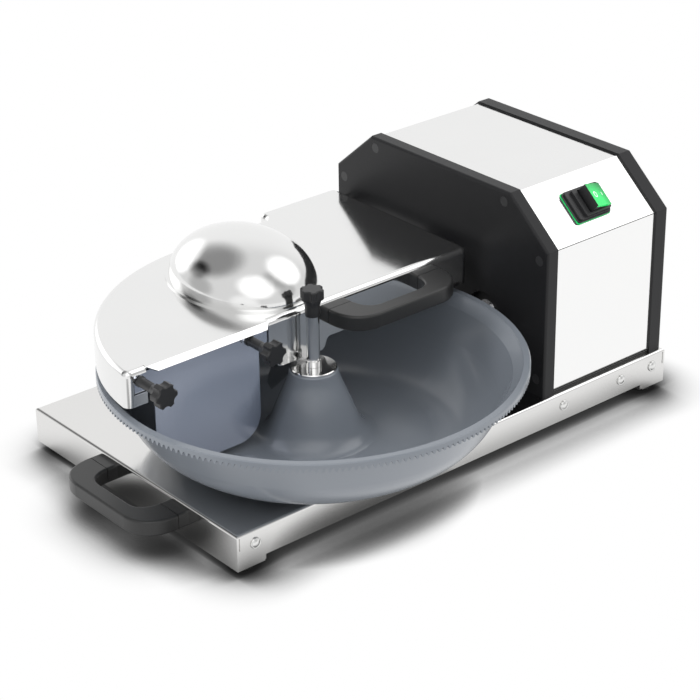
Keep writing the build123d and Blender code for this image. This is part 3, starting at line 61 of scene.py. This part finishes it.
TRAY_LOW, TRAY_HIGH, TRAY_MID = span("base_tray")


# ---------------------------------------------------------------- node helpers
class Shade:
    """A material's node tree, with short calls for the nodes that the looks need."""

    def __init__(self, name):
        self.mat = bpy.data.materials.new(name)
        self.mat.use_nodes = True
        self.tree = self.mat.node_tree
        self.bsdf = self.tree.nodes["Principled BSDF"]
        self.coords = self.tree.nodes.new("ShaderNodeTexCoord").outputs["Object"]
        MATERIALS[name] = self.mat

    def node(self, kind, links=(), **values):
        made = self.tree.nodes.new(kind)
        for key, value in values.items():
            if key in made.inputs:
                made.inputs[key].default_value = value
            else:
                setattr(made, key, value)
        for socket, source in dict(links).items():
            self.tree.links.new(source, made.inputs[socket])
        return made

    def set(self, **values):
        """Sets inputs of the shader, with underscores for the spaces of their names."""
        for key, value in values.items():
            self.bsdf.inputs[key.replace("_", " ")].default_value = value

    def stretch(self, x=1.0, y=1.0, z=1.0):
        """Object coordinates scaled by axis, for grain that runs one way."""
        return self.node("ShaderNodeMapping", {"Vector": self.coords}, Scale=(x, y, z)).outputs["Vector"]

    def noise(self, scale, detail=3.0, vector=None, rough=0.5):
        links = {"Vector": vector or self.coords}
        made = self.node("ShaderNodeTexNoise", links, Scale=scale, Detail=detail, Roughness=rough)
        return made.outputs["Fac"]

    def spread(self, source, low, high, start=0.3, end=0.7):
        """Maps a 0..1 source onto low..high."""
        made = self.node("ShaderNodeMapRange", {"Value": source})
        made.inputs["From Min"].default_value = start
        made.inputs["From Max"].default_value = end
        made.inputs["To Min"].default_value = low
        made.inputs["To Max"].default_value = high
        return made.outputs["Result"]

    def blend(self, source, first, second):
        """Colour between two by a 0..1 source."""
        made = self.node("ShaderNodeMix", data_type="RGBA")
        colours = {"A": (*first, 1), "B": (*second, 1)}
        for socket in made.inputs:
            if socket.type == "RGBA":
                socket.default_value = colours[socket.name]
        self.tree.links.new(source, made.inputs["Factor"])
        return next(socket for socket in made.outputs if socket.type == "RGBA")

    def bump(self, source, strength, distance):
        made = self.node("ShaderNodeBump", {"Height": source}, Strength=strength, Distance=distance)
        self.tree.links.new(made.outputs["Normal"], self.bsdf.inputs["Normal"])

    def link(self, source, socket):
        self.tree.links.new(source, self.bsdf.inputs[socket])


def metal(name, colour, rough, variation=0.03, grain=(1, 1, 1), grain_scale=300.0, grain_depth=0.0):
    """Steel: metallic, colour a little uneven, roughness from a stretched grain."""
    s = Shade(name)
    darker = tuple(c * (1 - variation) for c in colour)
    s.link(s.blend(s.noise(9.0, 2.0), darker, colour), "Base Color")
    lines = s.noise(grain_scale, 4.0, s.stretch(*grain))
    s.link(s.spread(lines, rough * 0.75, rough * 1.25), "Roughness")
    if grain_depth:
        s.bump(lines, 0.3, grain_depth)
    s.set(Metallic=1.0)


def plastic(
    name, colour, rough, grain_scale=900.0, grain_depth=0.00004, coat=0.0, variation=0.12, specular=0.5
):
    """Moulded plastic: fine grain, faint mottling, optional gloss coat."""
    s = Shade(name)
    lighter = tuple(min(1.0, c * (1 + variation)) for c in colour)
    s.link(s.blend(s.noise(6.0, 3.0), colour, lighter), "Base Color")
    grain = s.noise(grain_scale, 5.0)
    s.link(s.spread(grain, rough * 0.9, rough * 1.12), "Roughness")
    s.bump(grain, 0.4, grain_depth)
    s.set(Coat_Weight=coat, Coat_Roughness=0.12, Specular_IOR_Level=specular)


RIB_SCALE = 105.0   # wave texture scale of the plinth strips' lines


def ribbed_rubber():
    """Black strip with fine raised lines along its length."""
    s = Shade("ribbed_rubber")
    bands = s.node(
        "ShaderNodeTexWave", {"Vector": s.coords}, bands_direction="Z", Scale=RIB_SCALE, Distortion=0.0
    ).outputs["Fac"]
    # The crests are painted lighter than the grooves: a painted highlight on the raised lines, on top of their
    # bump.
    crests = s.spread(bands, 0.0, 1.0, 0.55, 0.95)
    s.link(s.blend(crests, (0.010, 0.010, 0.010), (0.16, 0.16, 0.155)), "Base Color")
    s.bump(bands, 0.5, 0.0003)
    s.set(Roughness=0.5)


# The lamp under the green lens, its bright reach and its dark reach, as parts of the lens's width.
LAMP_PLACE = Vector((-0.35, -0.30, -0.2))
LAMP_BRIGHT = 0.45
LAMP_DARK = 1.15


def lens_green():
    """Lit green lens, brightest over its lamp and darker towards the far corner, with fine prisms."""
    s = Shade("lens_green")
    low, high, middle = span("switch_lens")
    width = high.x - low.x
    reach = s.node("ShaderNodeVectorMath", {0: s.coords}, operation="DISTANCE")
    reach.inputs[1].default_value = middle + LAMP_PLACE * width
    fade = s.spread(reach.outputs["Value"], 0.0, 1.0, LAMP_BRIGHT * width, LAMP_DARK * width)
    lit = s.blend(fade, (0.03, 0.92, 0.20), (0.004, 0.20, 0.05))
    s.link(lit, "Base Color")
    s.link(lit, "Emission Color")
    s.bump(s.noise(2600.0, 1.0, s.stretch(1, 3, 3)), 0.4, 0.0002)
    s.set(Emission_Strength=0.45, Roughness=0.15, Transmission_Weight=0.35, IOR=1.49)


def mark_white():
    """White print of the switch's marks, faintly lit by the lens under it."""
    s = Shade("mark_white")
    s.link(s.blend(s.noise(400.0, 2.0), (0.88, 0.88, 0.86), (0.95, 0.95, 0.94)), "Base Color")
    s.set(Roughness=0.4, Emission_Color=(0.9, 0.95, 0.92, 1.0), Emission_Strength=0.35)


def halo_green():
    """Green light that leaks out under the bezel."""
    s = Shade("halo_green")
    lit = s.blend(s.noise(150.0, 2.0), (0.004, 0.42, 0.09), (0.01, 0.62, 0.16))
    s.link(lit, "Base Color")
    s.link(lit, "Emission Color")
    s.set(Emission_Strength=0.5, Roughness=0.3)


def make_materials():
    metal("polished_steel", (0.84, 0.84, 0.835), 0.12, grain=(1, 14, 14), grain_scale=120.0)
    metal("sheet_steel", (0.77, 0.765, 0.755), 0.12, grain=(1, 18, 18), grain_scale=90.0)
    # The guard's blue tint is painted: a painted reflection of the blue-grey bowl that the plate mirrors.
    metal("guard_steel", (0.80, 0.84, 0.95), 0.16, grain=(6, 6, 1), grain_scale=60.0)
    metal("screw_steel", (0.80, 0.80, 0.79), 0.14)
    metal("shaft_steel", (0.62, 0.62, 0.62), 0.22, grain=(60, 1, 1), grain_scale=40.0)
    metal("bearing_steel", (0.60, 0.60, 0.62), 0.2)
    metal("blade_steel", (0.70, 0.70, 0.70), 0.16, grain=(1, 1, 30), grain_scale=60.0)
    metal("plate_steel", (0.55, 0.55, 0.54), 0.38)
    metal("cast_alu", (0.58, 0.58, 0.58), 0.42, grain_depth=0.0001)
    metal("pulley_alu", (0.66, 0.66, 0.66), 0.3)
    # The side panels' steel is a brighter copy of the skin's steel: painted light for how bright those faces look.
    metal("panel_steel_painted_bright", (0.94, 0.94, 0.935), 0.10, variation=0.012, grain=(14, 14, 1), grain_scale=80.0)
    plastic(
        "bowl_plastic", (0.215, 0.236, 0.266), 0.24,
        grain_scale=300.0, grain_depth=0.000004, coat=0.3, variation=0.04,
    )
    plastic("housing_black", (0.012, 0.012, 0.013), 0.40, specular=0.28)
    plastic("plug_black", (0.024, 0.024, 0.025), 0.38)
    plastic("knob_black", (0.018, 0.018, 0.019), 0.36)
    plastic("handle_black", (0.020, 0.020, 0.020), 0.34)
    plastic("handle_cap_black", (0.022, 0.022, 0.022), 0.36)
    plastic("rubber_black", (0.016, 0.016, 0.016), 0.62)
    plastic("switch_black", (0.020, 0.020, 0.021), 0.36)
    plastic("motor_paint", (0.12, 0.13, 0.15), 0.45)
    plastic("capacitor_grey", (0.45, 0.45, 0.44), 0.35)
    plastic("pinion_plastic", (0.018, 0.018, 0.018), 0.35)
    ribbed_rubber()
    mark_white()
    halo_green()
    lens_green()


# Nodes that take another material than the rest of their slot: the plinth strips a real ribbed finish, and the
# side panels a brighter copy of the steel skin that is painted light for how bright those faces look.
FINISH_OR_PAINTED_LIGHT_OF_NODE = {
    "front_side_panel": "panel_steel_painted_bright",
    "back_side_panel": "panel_steel_painted_bright",
    "plinth_strips": "ribbed_rubber",
}


def dress_cad():
    """Every shown CAD node takes the material of its slot in the record, or its own: a ribbed finish, or for the
    side panels a brighter steel painted as light.
    """
    slot_of = {part["node"]: part["material_slot"] for part in frame["record"]["subparts"]}
    for node, obj in frame["nodes"].items():
        obj.data.materials.clear()
        obj.data.materials.append(MATERIALS[FINISH_OR_PAINTED_LIGHT_OF_NODE.get(node, slot_of[node])])


# ---------------------------------------------------------------- pieces beside the CAD
def piece(name, corners, faces, look, body, slot, replaced=None):
    """A mesh object with a finish that rides on a body, in place of a node if named. Its slot argument is not
    used.
    """
    mesh = bpy.data.meshes.new(name)
    mesh.from_pydata([tuple(corner) for corner in corners], [], faces)
    mesh.validate()
    mesh.update()
    work = bmesh.new()
    work.from_mesh(mesh)
    bmesh.ops.recalc_face_normals(work, faces=work.faces)
    work.to_mesh(mesh)
    work.free()
    mesh.materials.append(MATERIALS[look])
    made = bpy.data.objects.new(name, mesh)
    bpy.context.scene.collection.objects.link(made)
    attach(made, body)
    if replaced:
        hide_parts(replaced)
    return made


def band(outer, inner, lift):
    """Corners and faces of a closed band between two loops of as many points, raised by lift."""
    count = len(outer)
    corners = [*outer, *inner, *[p + lift for p in outer], *[p + lift for p in inner]]
    faces = []
    for i in range(count):
        j = (i + 1) % count
        faces += [
            (i, j, count + j, count + i),
            (2 * count + i, 2 * count + j, 3 * count + j, 3 * count + i),
            (i, j, 2 * count + j, 2 * count + i),
            (count + i, count + j, 3 * count + j, 3 * count + i),
        ]
    return corners, faces


def rounded_loop(middle, across, along, half_across, half_along, radius, steps=8):
    """Points round a rounded rectangle that lies in the plane of across and along."""
    loop = []
    for turn, (sx, sy) in enumerate(((1, 1), (-1, 1), (-1, -1), (1, -1))):
        for step in range(steps + 1):
            angle = radians(90) * (turn + step / steps)
            x = sx * (half_across - radius) + radius * cos(angle)
            y = sy * (half_along - radius) + radius * sin(angle)
            loop.append(middle + across * x + along * y)
    return loop


def node_points(node):
    """Corners of a CAD node's mesh."""
    return [vertex.co.copy() for vertex in frame["nodes"][node].data.vertices]


# The switch's own directions: across it is X, along it is up the slope, and out is off the slope.
ROCK = next(joint for joint in frame["joints"] if joint["name"] == "switch_rock")
ALONG = -Vector(ROCK["axis"]).normalized()
ACROSS = Vector((1, 0, 0))
OUT = ACROSS.cross(ALONG)


def extent(points, direction):
    """Least and greatest reach of the points along a direction."""
    values = [p.dot(direction) for p in points]
    return min(values), max(values)


def lens_face():
    """Middle, normal, sideways direction and half width of the lens's widest face that looks out."""
    mesh = frame["nodes"]["switch_lens"].data
    groups = {}
    for polygon in mesh.polygons:
        if polygon.normal.dot(OUT) > 0.7:
            key = tuple(round(value, 1) for value in polygon.normal)
            groups.setdefault(key, []).append(polygon)
    widest = max(groups.values(), key=lambda group: sum(polygon.area for polygon in group))
    normal = sum((polygon.normal * polygon.area for polygon in widest), Vector()).normalized()
    corners = [mesh.vertices[i].co for polygon in widest for i in polygon.vertices]
    side = ALONG.cross(normal).normalized()
    near, far = extent(corners, side)
    low, high = extent(corners, ALONG)
    level = sum(corner.dot(normal) for corner in corners) / len(corners)
    middle = side * (near + far) / 2 + ALONG * (low + high) / 2 + normal * level
    return middle, normal, side, (far - near) / 2


MARK_T = 0.25 * MM          # thickness of the printed marks, half of it sunk into the lens
MARK_LINE = 1.3 * MM        # line width of the marks
O_PLACE = -0.42             # middle of the O, as part of the lens's half width
O_HALF_W = 3.4 * MM
O_HALF_L = 4.2 * MM
O_ROUND = 3.39 * MM         # outer corners of the O
O_INNER_ROUND = 2.08 * MM
I_PLACE = 0.5
I_HALF_L = 2.2 * MM
I_END = 0.2 * MM            # solid end of the I beyond its hairline
I_ROUND = 0.45              # the I's corners, half hairline and its corners, as parts of the line
I_HAIR = 0.05
I_HAIR_ROUND = 0.04


def make_switch_marks():
    """O and I on the rocker's lens. The I is a bar round a hairline."""
    middle, normal, side, half_width = lens_face()
    foot = middle - normal * MARK_T / 2
    o_at = foot + side * half_width * O_PLACE
    outer = rounded_loop(o_at, side, ALONG, O_HALF_W, O_HALF_L, O_ROUND)
    inner = rounded_loop(o_at, side, ALONG, O_HALF_W - MARK_LINE, O_HALF_L - MARK_LINE, O_INNER_ROUND)
    piece("mark_o", *band(outer, inner, normal * MARK_T), "mark_white", "rocker", "switch_black")
    i_at = foot + side * half_width * I_PLACE
    outer = rounded_loop(i_at, side, ALONG, MARK_LINE / 2, I_HALF_L, MARK_LINE * I_ROUND)
    inner = rounded_loop(
        i_at, side, ALONG, MARK_LINE * I_HAIR, I_HALF_L - I_END, MARK_LINE * I_HAIR_ROUND
    )
    piece("mark_i", *band(outer, inner, normal * MARK_T), "mark_white", "rocker", "switch_black")


HALO_OUT = 0.5 * MM         # halo beyond the bezel's edge
HALO_IN = 0.6 * MM          # halo under the bezel's edge
HALO_T = 0.5 * MM
HALO_ROUND = 3.0 * MM
HALO_INNER_ROUND = 2.0 * MM
BEZEL_EDGE = 2 * MM         # points this near to the bezel's left or lower edge count as its edge


def make_switch_halo():
    """Green light that leaks out round the bezel's foot."""
    points = node_points("switch_bezel")
    left, right = extent(points, ACROSS)
    low, high = extent(points, ALONG)
    edge = [
        p for p in points
        if abs(p.dot(ACROSS) - left) < BEZEL_EDGE or abs(p.dot(ALONG) - low) < BEZEL_EDGE
    ]
    foot = min(p.dot(OUT) for p in edge)
    middle = ACROSS * (left + right) / 2 + ALONG * (low + high) / 2 + OUT * foot
    half_x, half_y = (right - left) / 2, (high - low) / 2
    outer = rounded_loop(middle, ACROSS, ALONG, half_x + HALO_OUT, half_y + HALO_OUT, HALO_ROUND)
    inner = rounded_loop(middle, ACROSS, ALONG, half_x - HALO_IN, half_y - HALO_IN, HALO_INNER_ROUND)
    piece("switch_halo", *band(outer, inner, OUT * HALO_T), "halo_green", "root", "lens_green")


WELD = 1e-6                 # corners this near to each other are one


def islands(node):
    """Points of each separate solid in a node's mesh."""
    work = bmesh.new()
    work.from_mesh(frame["nodes"][node].data)
    bmesh.ops.remove_doubles(work, verts=work.verts, dist=WELD)
    found, seen = [], set()
    for start in work.verts:
        if start in seen:
            continue
        group, stack = [], [start]
        seen.add(start)
        while stack:
            vertex = stack.pop()
            group.append(vertex.co.copy())
            for edge in vertex.link_edges:
                other = edge.other_vert(vertex)
                if other not in seen:
                    seen.add(other)
                    stack.append(other)
        found.append(group)
    work.free()
    return found


# Section of a screw's head, as parts of its radius and height: a rolled rim, a groove and a low crown.
HEAD_SECTION = (
    (1.00, 0.0),
    (1.00, 0.38),
    (0.96, 0.55),
    (0.88, 0.60),
    (0.82, 0.50),
    (0.77, 0.46),
    (0.70, 0.56),
    (0.50, 0.82),
    (0.26, 0.96),
    (0.0, 1.0),
)
HEAD_STEPS = 40


def make_screw_heads():
    """Smooth crowned heads on the tray's long sides, in place of the CAD screws, at their size."""
    corners, faces = [], []
    for group in islands("tray_screws"):
        low = Vector([min(p[k] for p in group) for k in range(3)])
        high = Vector([max(p[k] for p in group) for k in range(3)])
        middle = (low + high) / 2
        radius = (high.x - low.x) / 2
        if middle.y < TRAY_MID.y:
            out, tip, seat = Vector((0, -1, 0)), low.y, TRAY_LOW.y
        else:
            out, tip, seat = Vector((0, 1, 0)), high.y, TRAY_HIGH.y
        height = abs(tip - seat)
        foot = Vector((middle.x, seat, middle.z))
        start = len(corners)
        for part, rise in HEAD_SECTION[:-1]:
            for step in range(HEAD_STEPS):
                angle = 2 * pi * step / HEAD_STEPS
                offset = Vector((cos(angle), 0, sin(angle))) * radius * part
                corners.append(foot + offset + out * height * rise)
        corners.append(foot + out * height)
        rows = len(HEAD_SECTION) - 1
        for row in range(rows - 1):
            near = start + row * HEAD_STEPS
            far = near + HEAD_STEPS
            for step in range(HEAD_STEPS):
                after = (step + 1) % HEAD_STEPS
                faces.append((near + step, near + after, far + after, far + step))
        last = start + (rows - 1) * HEAD_STEPS
        for step in range(HEAD_STEPS):
            faces.append((last + step, last + (step + 1) % HEAD_STEPS, len(corners) - 1))
        faces.append(tuple(start + step for step in range(HEAD_STEPS)))
    made = piece(
        "tray_screw_heads", corners, faces, "screw_steel", "root", "screw_steel", replaced="tray_screws"
    )
    for polygon in made.data.polygons:
        polygon.use_smooth = len(polygon.vertices) < 5


# ---------------------------------------------------------------- stage, light and camera
# The camera, as solved from the photograph.
LENS_MM = 112.14
SENSOR_MM = 36.0
CLIP_END = 60.0
CAMERA_AT = Vector((-1.55635, -1.79780, 1.32970))
LOOK = Vector((0.5745, 0.6835, -0.4503)).normalized()
ROLL = radians(-0.7702)


def make_camera():
    data = bpy.data.cameras.new("camera")
    data.lens = LENS_MM
    data.sensor_width = SENSOR_MM
    data.clip_end = CLIP_END
    camera = bpy.data.objects.new("camera", data)
    bpy.context.scene.collection.objects.link(camera)
    right = LOOK.cross(Vector((0, 0, 1))).normalized()
    up = right.cross(LOOK)
    rolled_right = cos(ROLL) * right + sin(ROLL) * up
    rolled_up = -sin(ROLL) * right + cos(ROLL) * up
    turn = Matrix((rolled_right, rolled_up, -LOOK)).transposed().to_4x4()
    camera.matrix_world = Matrix.Translation(CAMERA_AT) @ turn
    bpy.context.scene.camera = camera


def toward(azimuth, elevation):
    """Unit direction: azimuth from +X towards +Y, elevation over the floor, degrees."""
    az, el = radians(azimuth), radians(elevation)
    return (cos(az) * cos(el), sin(az) * cos(el), sin(el))


def faded(tree, source, near, far, near_level, far_level):
    """A source mapped smoothly from near..far onto near_level..far_level."""
    made = tree.nodes.new("ShaderNodeMapRange")
    made.interpolation_type = "SMOOTHSTEP"
    made.inputs["From Min"].default_value = near
    made.inputs["From Max"].default_value = far
    made.inputs["To Min"].default_value = near_level
    made.inputs["To Max"].default_value = far_level
    tree.links.new(source, made.inputs["Value"])
    return made.outputs["Result"]


def chained(tree, operation, first, value, total):
    """first joined to the total so far, or to a plain value where there is none yet."""
    made = tree.nodes.new("ShaderNodeMath")
    made.operation = operation
    made.inputs[1].default_value = value
    tree.links.new(first, made.inputs[0])
    if total is not None:
        tree.links.new(total, made.inputs[1])
    return made.outputs[0]


def mixed(tree, ray, otherwise, when):
    """Shader that is one for a kind of ray and another for the rest."""
    path = tree.nodes.new("ShaderNodeLightPath")
    made = tree.nodes.new("ShaderNodeMixShader")
    tree.links.new(path.outputs[ray], made.inputs["Fac"])
    tree.links.new(otherwise, made.inputs[1])
    tree.links.new(when, made.inputs[2])
    return made.outputs[0]


AMBIENT = 0.75                          # light that falls on the machine from all sides
AMBIENT_COLOUR = (0.97, 0.985, 1.0, 1)
WHITE = (1, 1, 1, 1)                    # what the camera sees behind the floor, and the mirrored studio

# What polished steel mirrors: soft boxes (positive) and dark gaps (negative) round the studio,
# each by azimuth, elevation, full radius, faded radius, all in degrees, and gain.
STUDIO_LEVEL = 0.80
STUDIO_PATCHES = (
    (52, 8, 25, 62, 0.20),
    (98, 16, 9, 24, 0.90),
    (-27, 50, 10, 30, 1.00),
    (-128, 45, 8, 34, 0.80),
    (-150, 2, 10, 26, 0.25),
    (146, 10, 8, 22, -0.30),
    (117, 50, 14, 36, -0.50),
    (128, 29, 6, 18, -0.30),
    (-67, 24, 7, 22, -0.26),
    (-75, 56, 5, 24, -0.35),
)


def studio_level(tree):
    """Brightness of the mirrored studio, by direction."""
    direction = tree.nodes.new("ShaderNodeTexCoord").outputs["Generated"]
    total = None
    for azimuth, elevation, full, gone, gain in STUDIO_PATCHES:
        dot = tree.nodes.new("ShaderNodeVectorMath")
        dot.operation = "DOT_PRODUCT"
        dot.inputs[1].default_value = toward(azimuth, elevation)
        tree.links.new(direction, dot.inputs[0])
        patch = faded(tree, dot.outputs["Value"], cos(radians(gone)), cos(radians(full)), 0.0, gain)
        total = chained(tree, "ADD", patch, STUDIO_LEVEL, total)
    return total


def make_world():
    """White to the camera, a patterned studio to mirrored rays, and even light to the rest."""
    world = bpy.data.worlds.new("studio")
    bpy.context.scene.world = world
    world.use_nodes = True
    tree = world.node_tree
    light = tree.nodes["Background"]
    light.inputs["Color"].default_value = AMBIENT_COLOUR
    light.inputs["Strength"].default_value = AMBIENT
    mirrored = tree.nodes.new("ShaderNodeBackground")
    mirrored.inputs["Color"].default_value = WHITE
    tree.links.new(studio_level(tree), mirrored.inputs["Strength"])
    shown = tree.nodes.new("ShaderNodeBackground")
    shown.inputs["Color"].default_value = WHITE
    lighting = mixed(tree, "Is Glossy Ray", light.outputs[0], mirrored.outputs[0])
    surface = mixed(tree, "Is Camera Ray", lighting, shown.outputs[0])
    tree.links.new(surface, tree.nodes["World Output"].inputs["Surface"])


FLOOR_SIZE = 16.0
FLOOR_Z = -0.0005       # just under the feet

# Floor brightness by how open the sky is above it: dark where the machine covers it.
# The reach is in metres, the lean is the direction that counts as up, the ramp is openness and level.
SHADOW_REACH = 0.076
SHADOW_LEAN = (-0.08, 0.15, 1.0)
SHADOW_SAMPLES = 48
SHADOW_RAMP = (
    (0.30, 0.012),
    (0.50, 0.045),
    (0.60, 0.11),
    (0.70, 0.24),
    (0.78, 0.46),
    (0.86, 0.73),
    (0.935, 0.92),
    (0.985, 1.0),
)

# Grey cards on the floor, seen only in mirrored rays: place, full radius, faded radius and level.
FLOOR_CARDS = (
    ((-0.62, -0.24), 0.05, 0.17, 0.42),
    ((-0.38, -0.62), 0.02, 0.12, 0.75),
)


def mirrored_floor(tree, shade):
    """The floor's brightness with the cards over it, for mirrored rays only."""
    place = tree.nodes.new("ShaderNodeTexCoord").outputs["Object"]
    level = None
    for (x, y), full, gone, dark in FLOOR_CARDS:
        reach = tree.nodes.new("ShaderNodeVectorMath")
        reach.operation = "DISTANCE"
        reach.inputs[1].default_value = (x, y, 0)
        tree.links.new(place, reach.inputs[0])
        card = faded(tree, reach.outputs["Value"], full, gone, dark, 1.0)
        level = chained(tree, "MULTIPLY", card, 1.0, level)
    glow = tree.nodes.new("ShaderNodeEmission")
    tree.links.new(shade, glow.inputs["Color"])
    tree.links.new(level, glow.inputs["Strength"])
    return glow.outputs[0]


def make_floor():
    """White floor with its own light, darkened only by the soft contact shadow."""
    bpy.ops.mesh.primitive_plane_add(size=FLOOR_SIZE, location=(0, 0, FLOOR_Z))
    floor = bpy.context.object
    floor.name = "floor"
    mat = bpy.data.materials.new("floor_white")
    mat.use_nodes = True
    tree = mat.node_tree
    cover = tree.nodes.new("ShaderNodeAmbientOcclusion")
    cover.samples = SHADOW_SAMPLES
    cover.inputs["Distance"].default_value = SHADOW_REACH
    lean = tree.nodes.new("ShaderNodeCombineXYZ")
    for socket, value in zip(lean.inputs, Vector(SHADOW_LEAN).normalized()):
        socket.default_value = value
    tree.links.new(lean.outputs[0], cover.inputs["Normal"])
    ramp = tree.nodes.new("ShaderNodeValToRGB")
    ramp.color_ramp.interpolation = "LINEAR"
    stops = ramp.color_ramp.elements
    while len(stops) < len(SHADOW_RAMP):
        stops.new(0.5)
    for stop, (place, value) in zip(stops, SHADOW_RAMP):
        stop.position = place
        stop.color = (value, value, value, 1)
    tree.links.new(cover.outputs["AO"], ramp.inputs["Fac"])
    glow = tree.nodes.new("ShaderNodeEmission")
    tree.links.new(ramp.outputs["Color"], glow.inputs["Color"])
    mirrored = mirrored_floor(tree, ramp.outputs["Color"])
    surface = mixed(tree, "Is Glossy Ray", glow.outputs[0], mirrored)
    tree.links.new(surface, tree.nodes["Material Output"].inputs["Surface"])
    floor.data.materials.append(mat)


# Square lamps: name, place, side and watts. All aim at one point of the machine.
LAMPS = (
    ("key", Vector((-1.6, 0.9, 2.4)), 1.6, 34),
    ("fill", Vector((1.4, -2.2, 1.8)), 1.8, 14),
)
LAMP_AIM = Vector((0, 0, 0.1))


def make_lights():
    """Lamps that steel doesn't mirror: what it mirrors is the world's."""
    for name, place, side, watts in LAMPS:
        data = bpy.data.lights.new(name, "AREA")
        data.shape = "RECTANGLE"
        data.size = data.size_y = side
        data.energy = watts
        lamp = bpy.data.objects.new(name, data)
        bpy.context.scene.collection.objects.link(lamp)
        lamp.location = place
        lamp.rotation_mode = "QUATERNION"
        lamp.rotation_quaternion = (LAMP_AIM - place).to_track_quat("-Z", "Y")
        lamp.visible_glossy = False


make_materials()
make_camera()
make_world()
make_floor()
make_lights()
dress_cad()
make_switch_marks()
make_switch_halo()
make_screw_heads()

bpy.context.scene.view_settings.view_transform = "Standard"
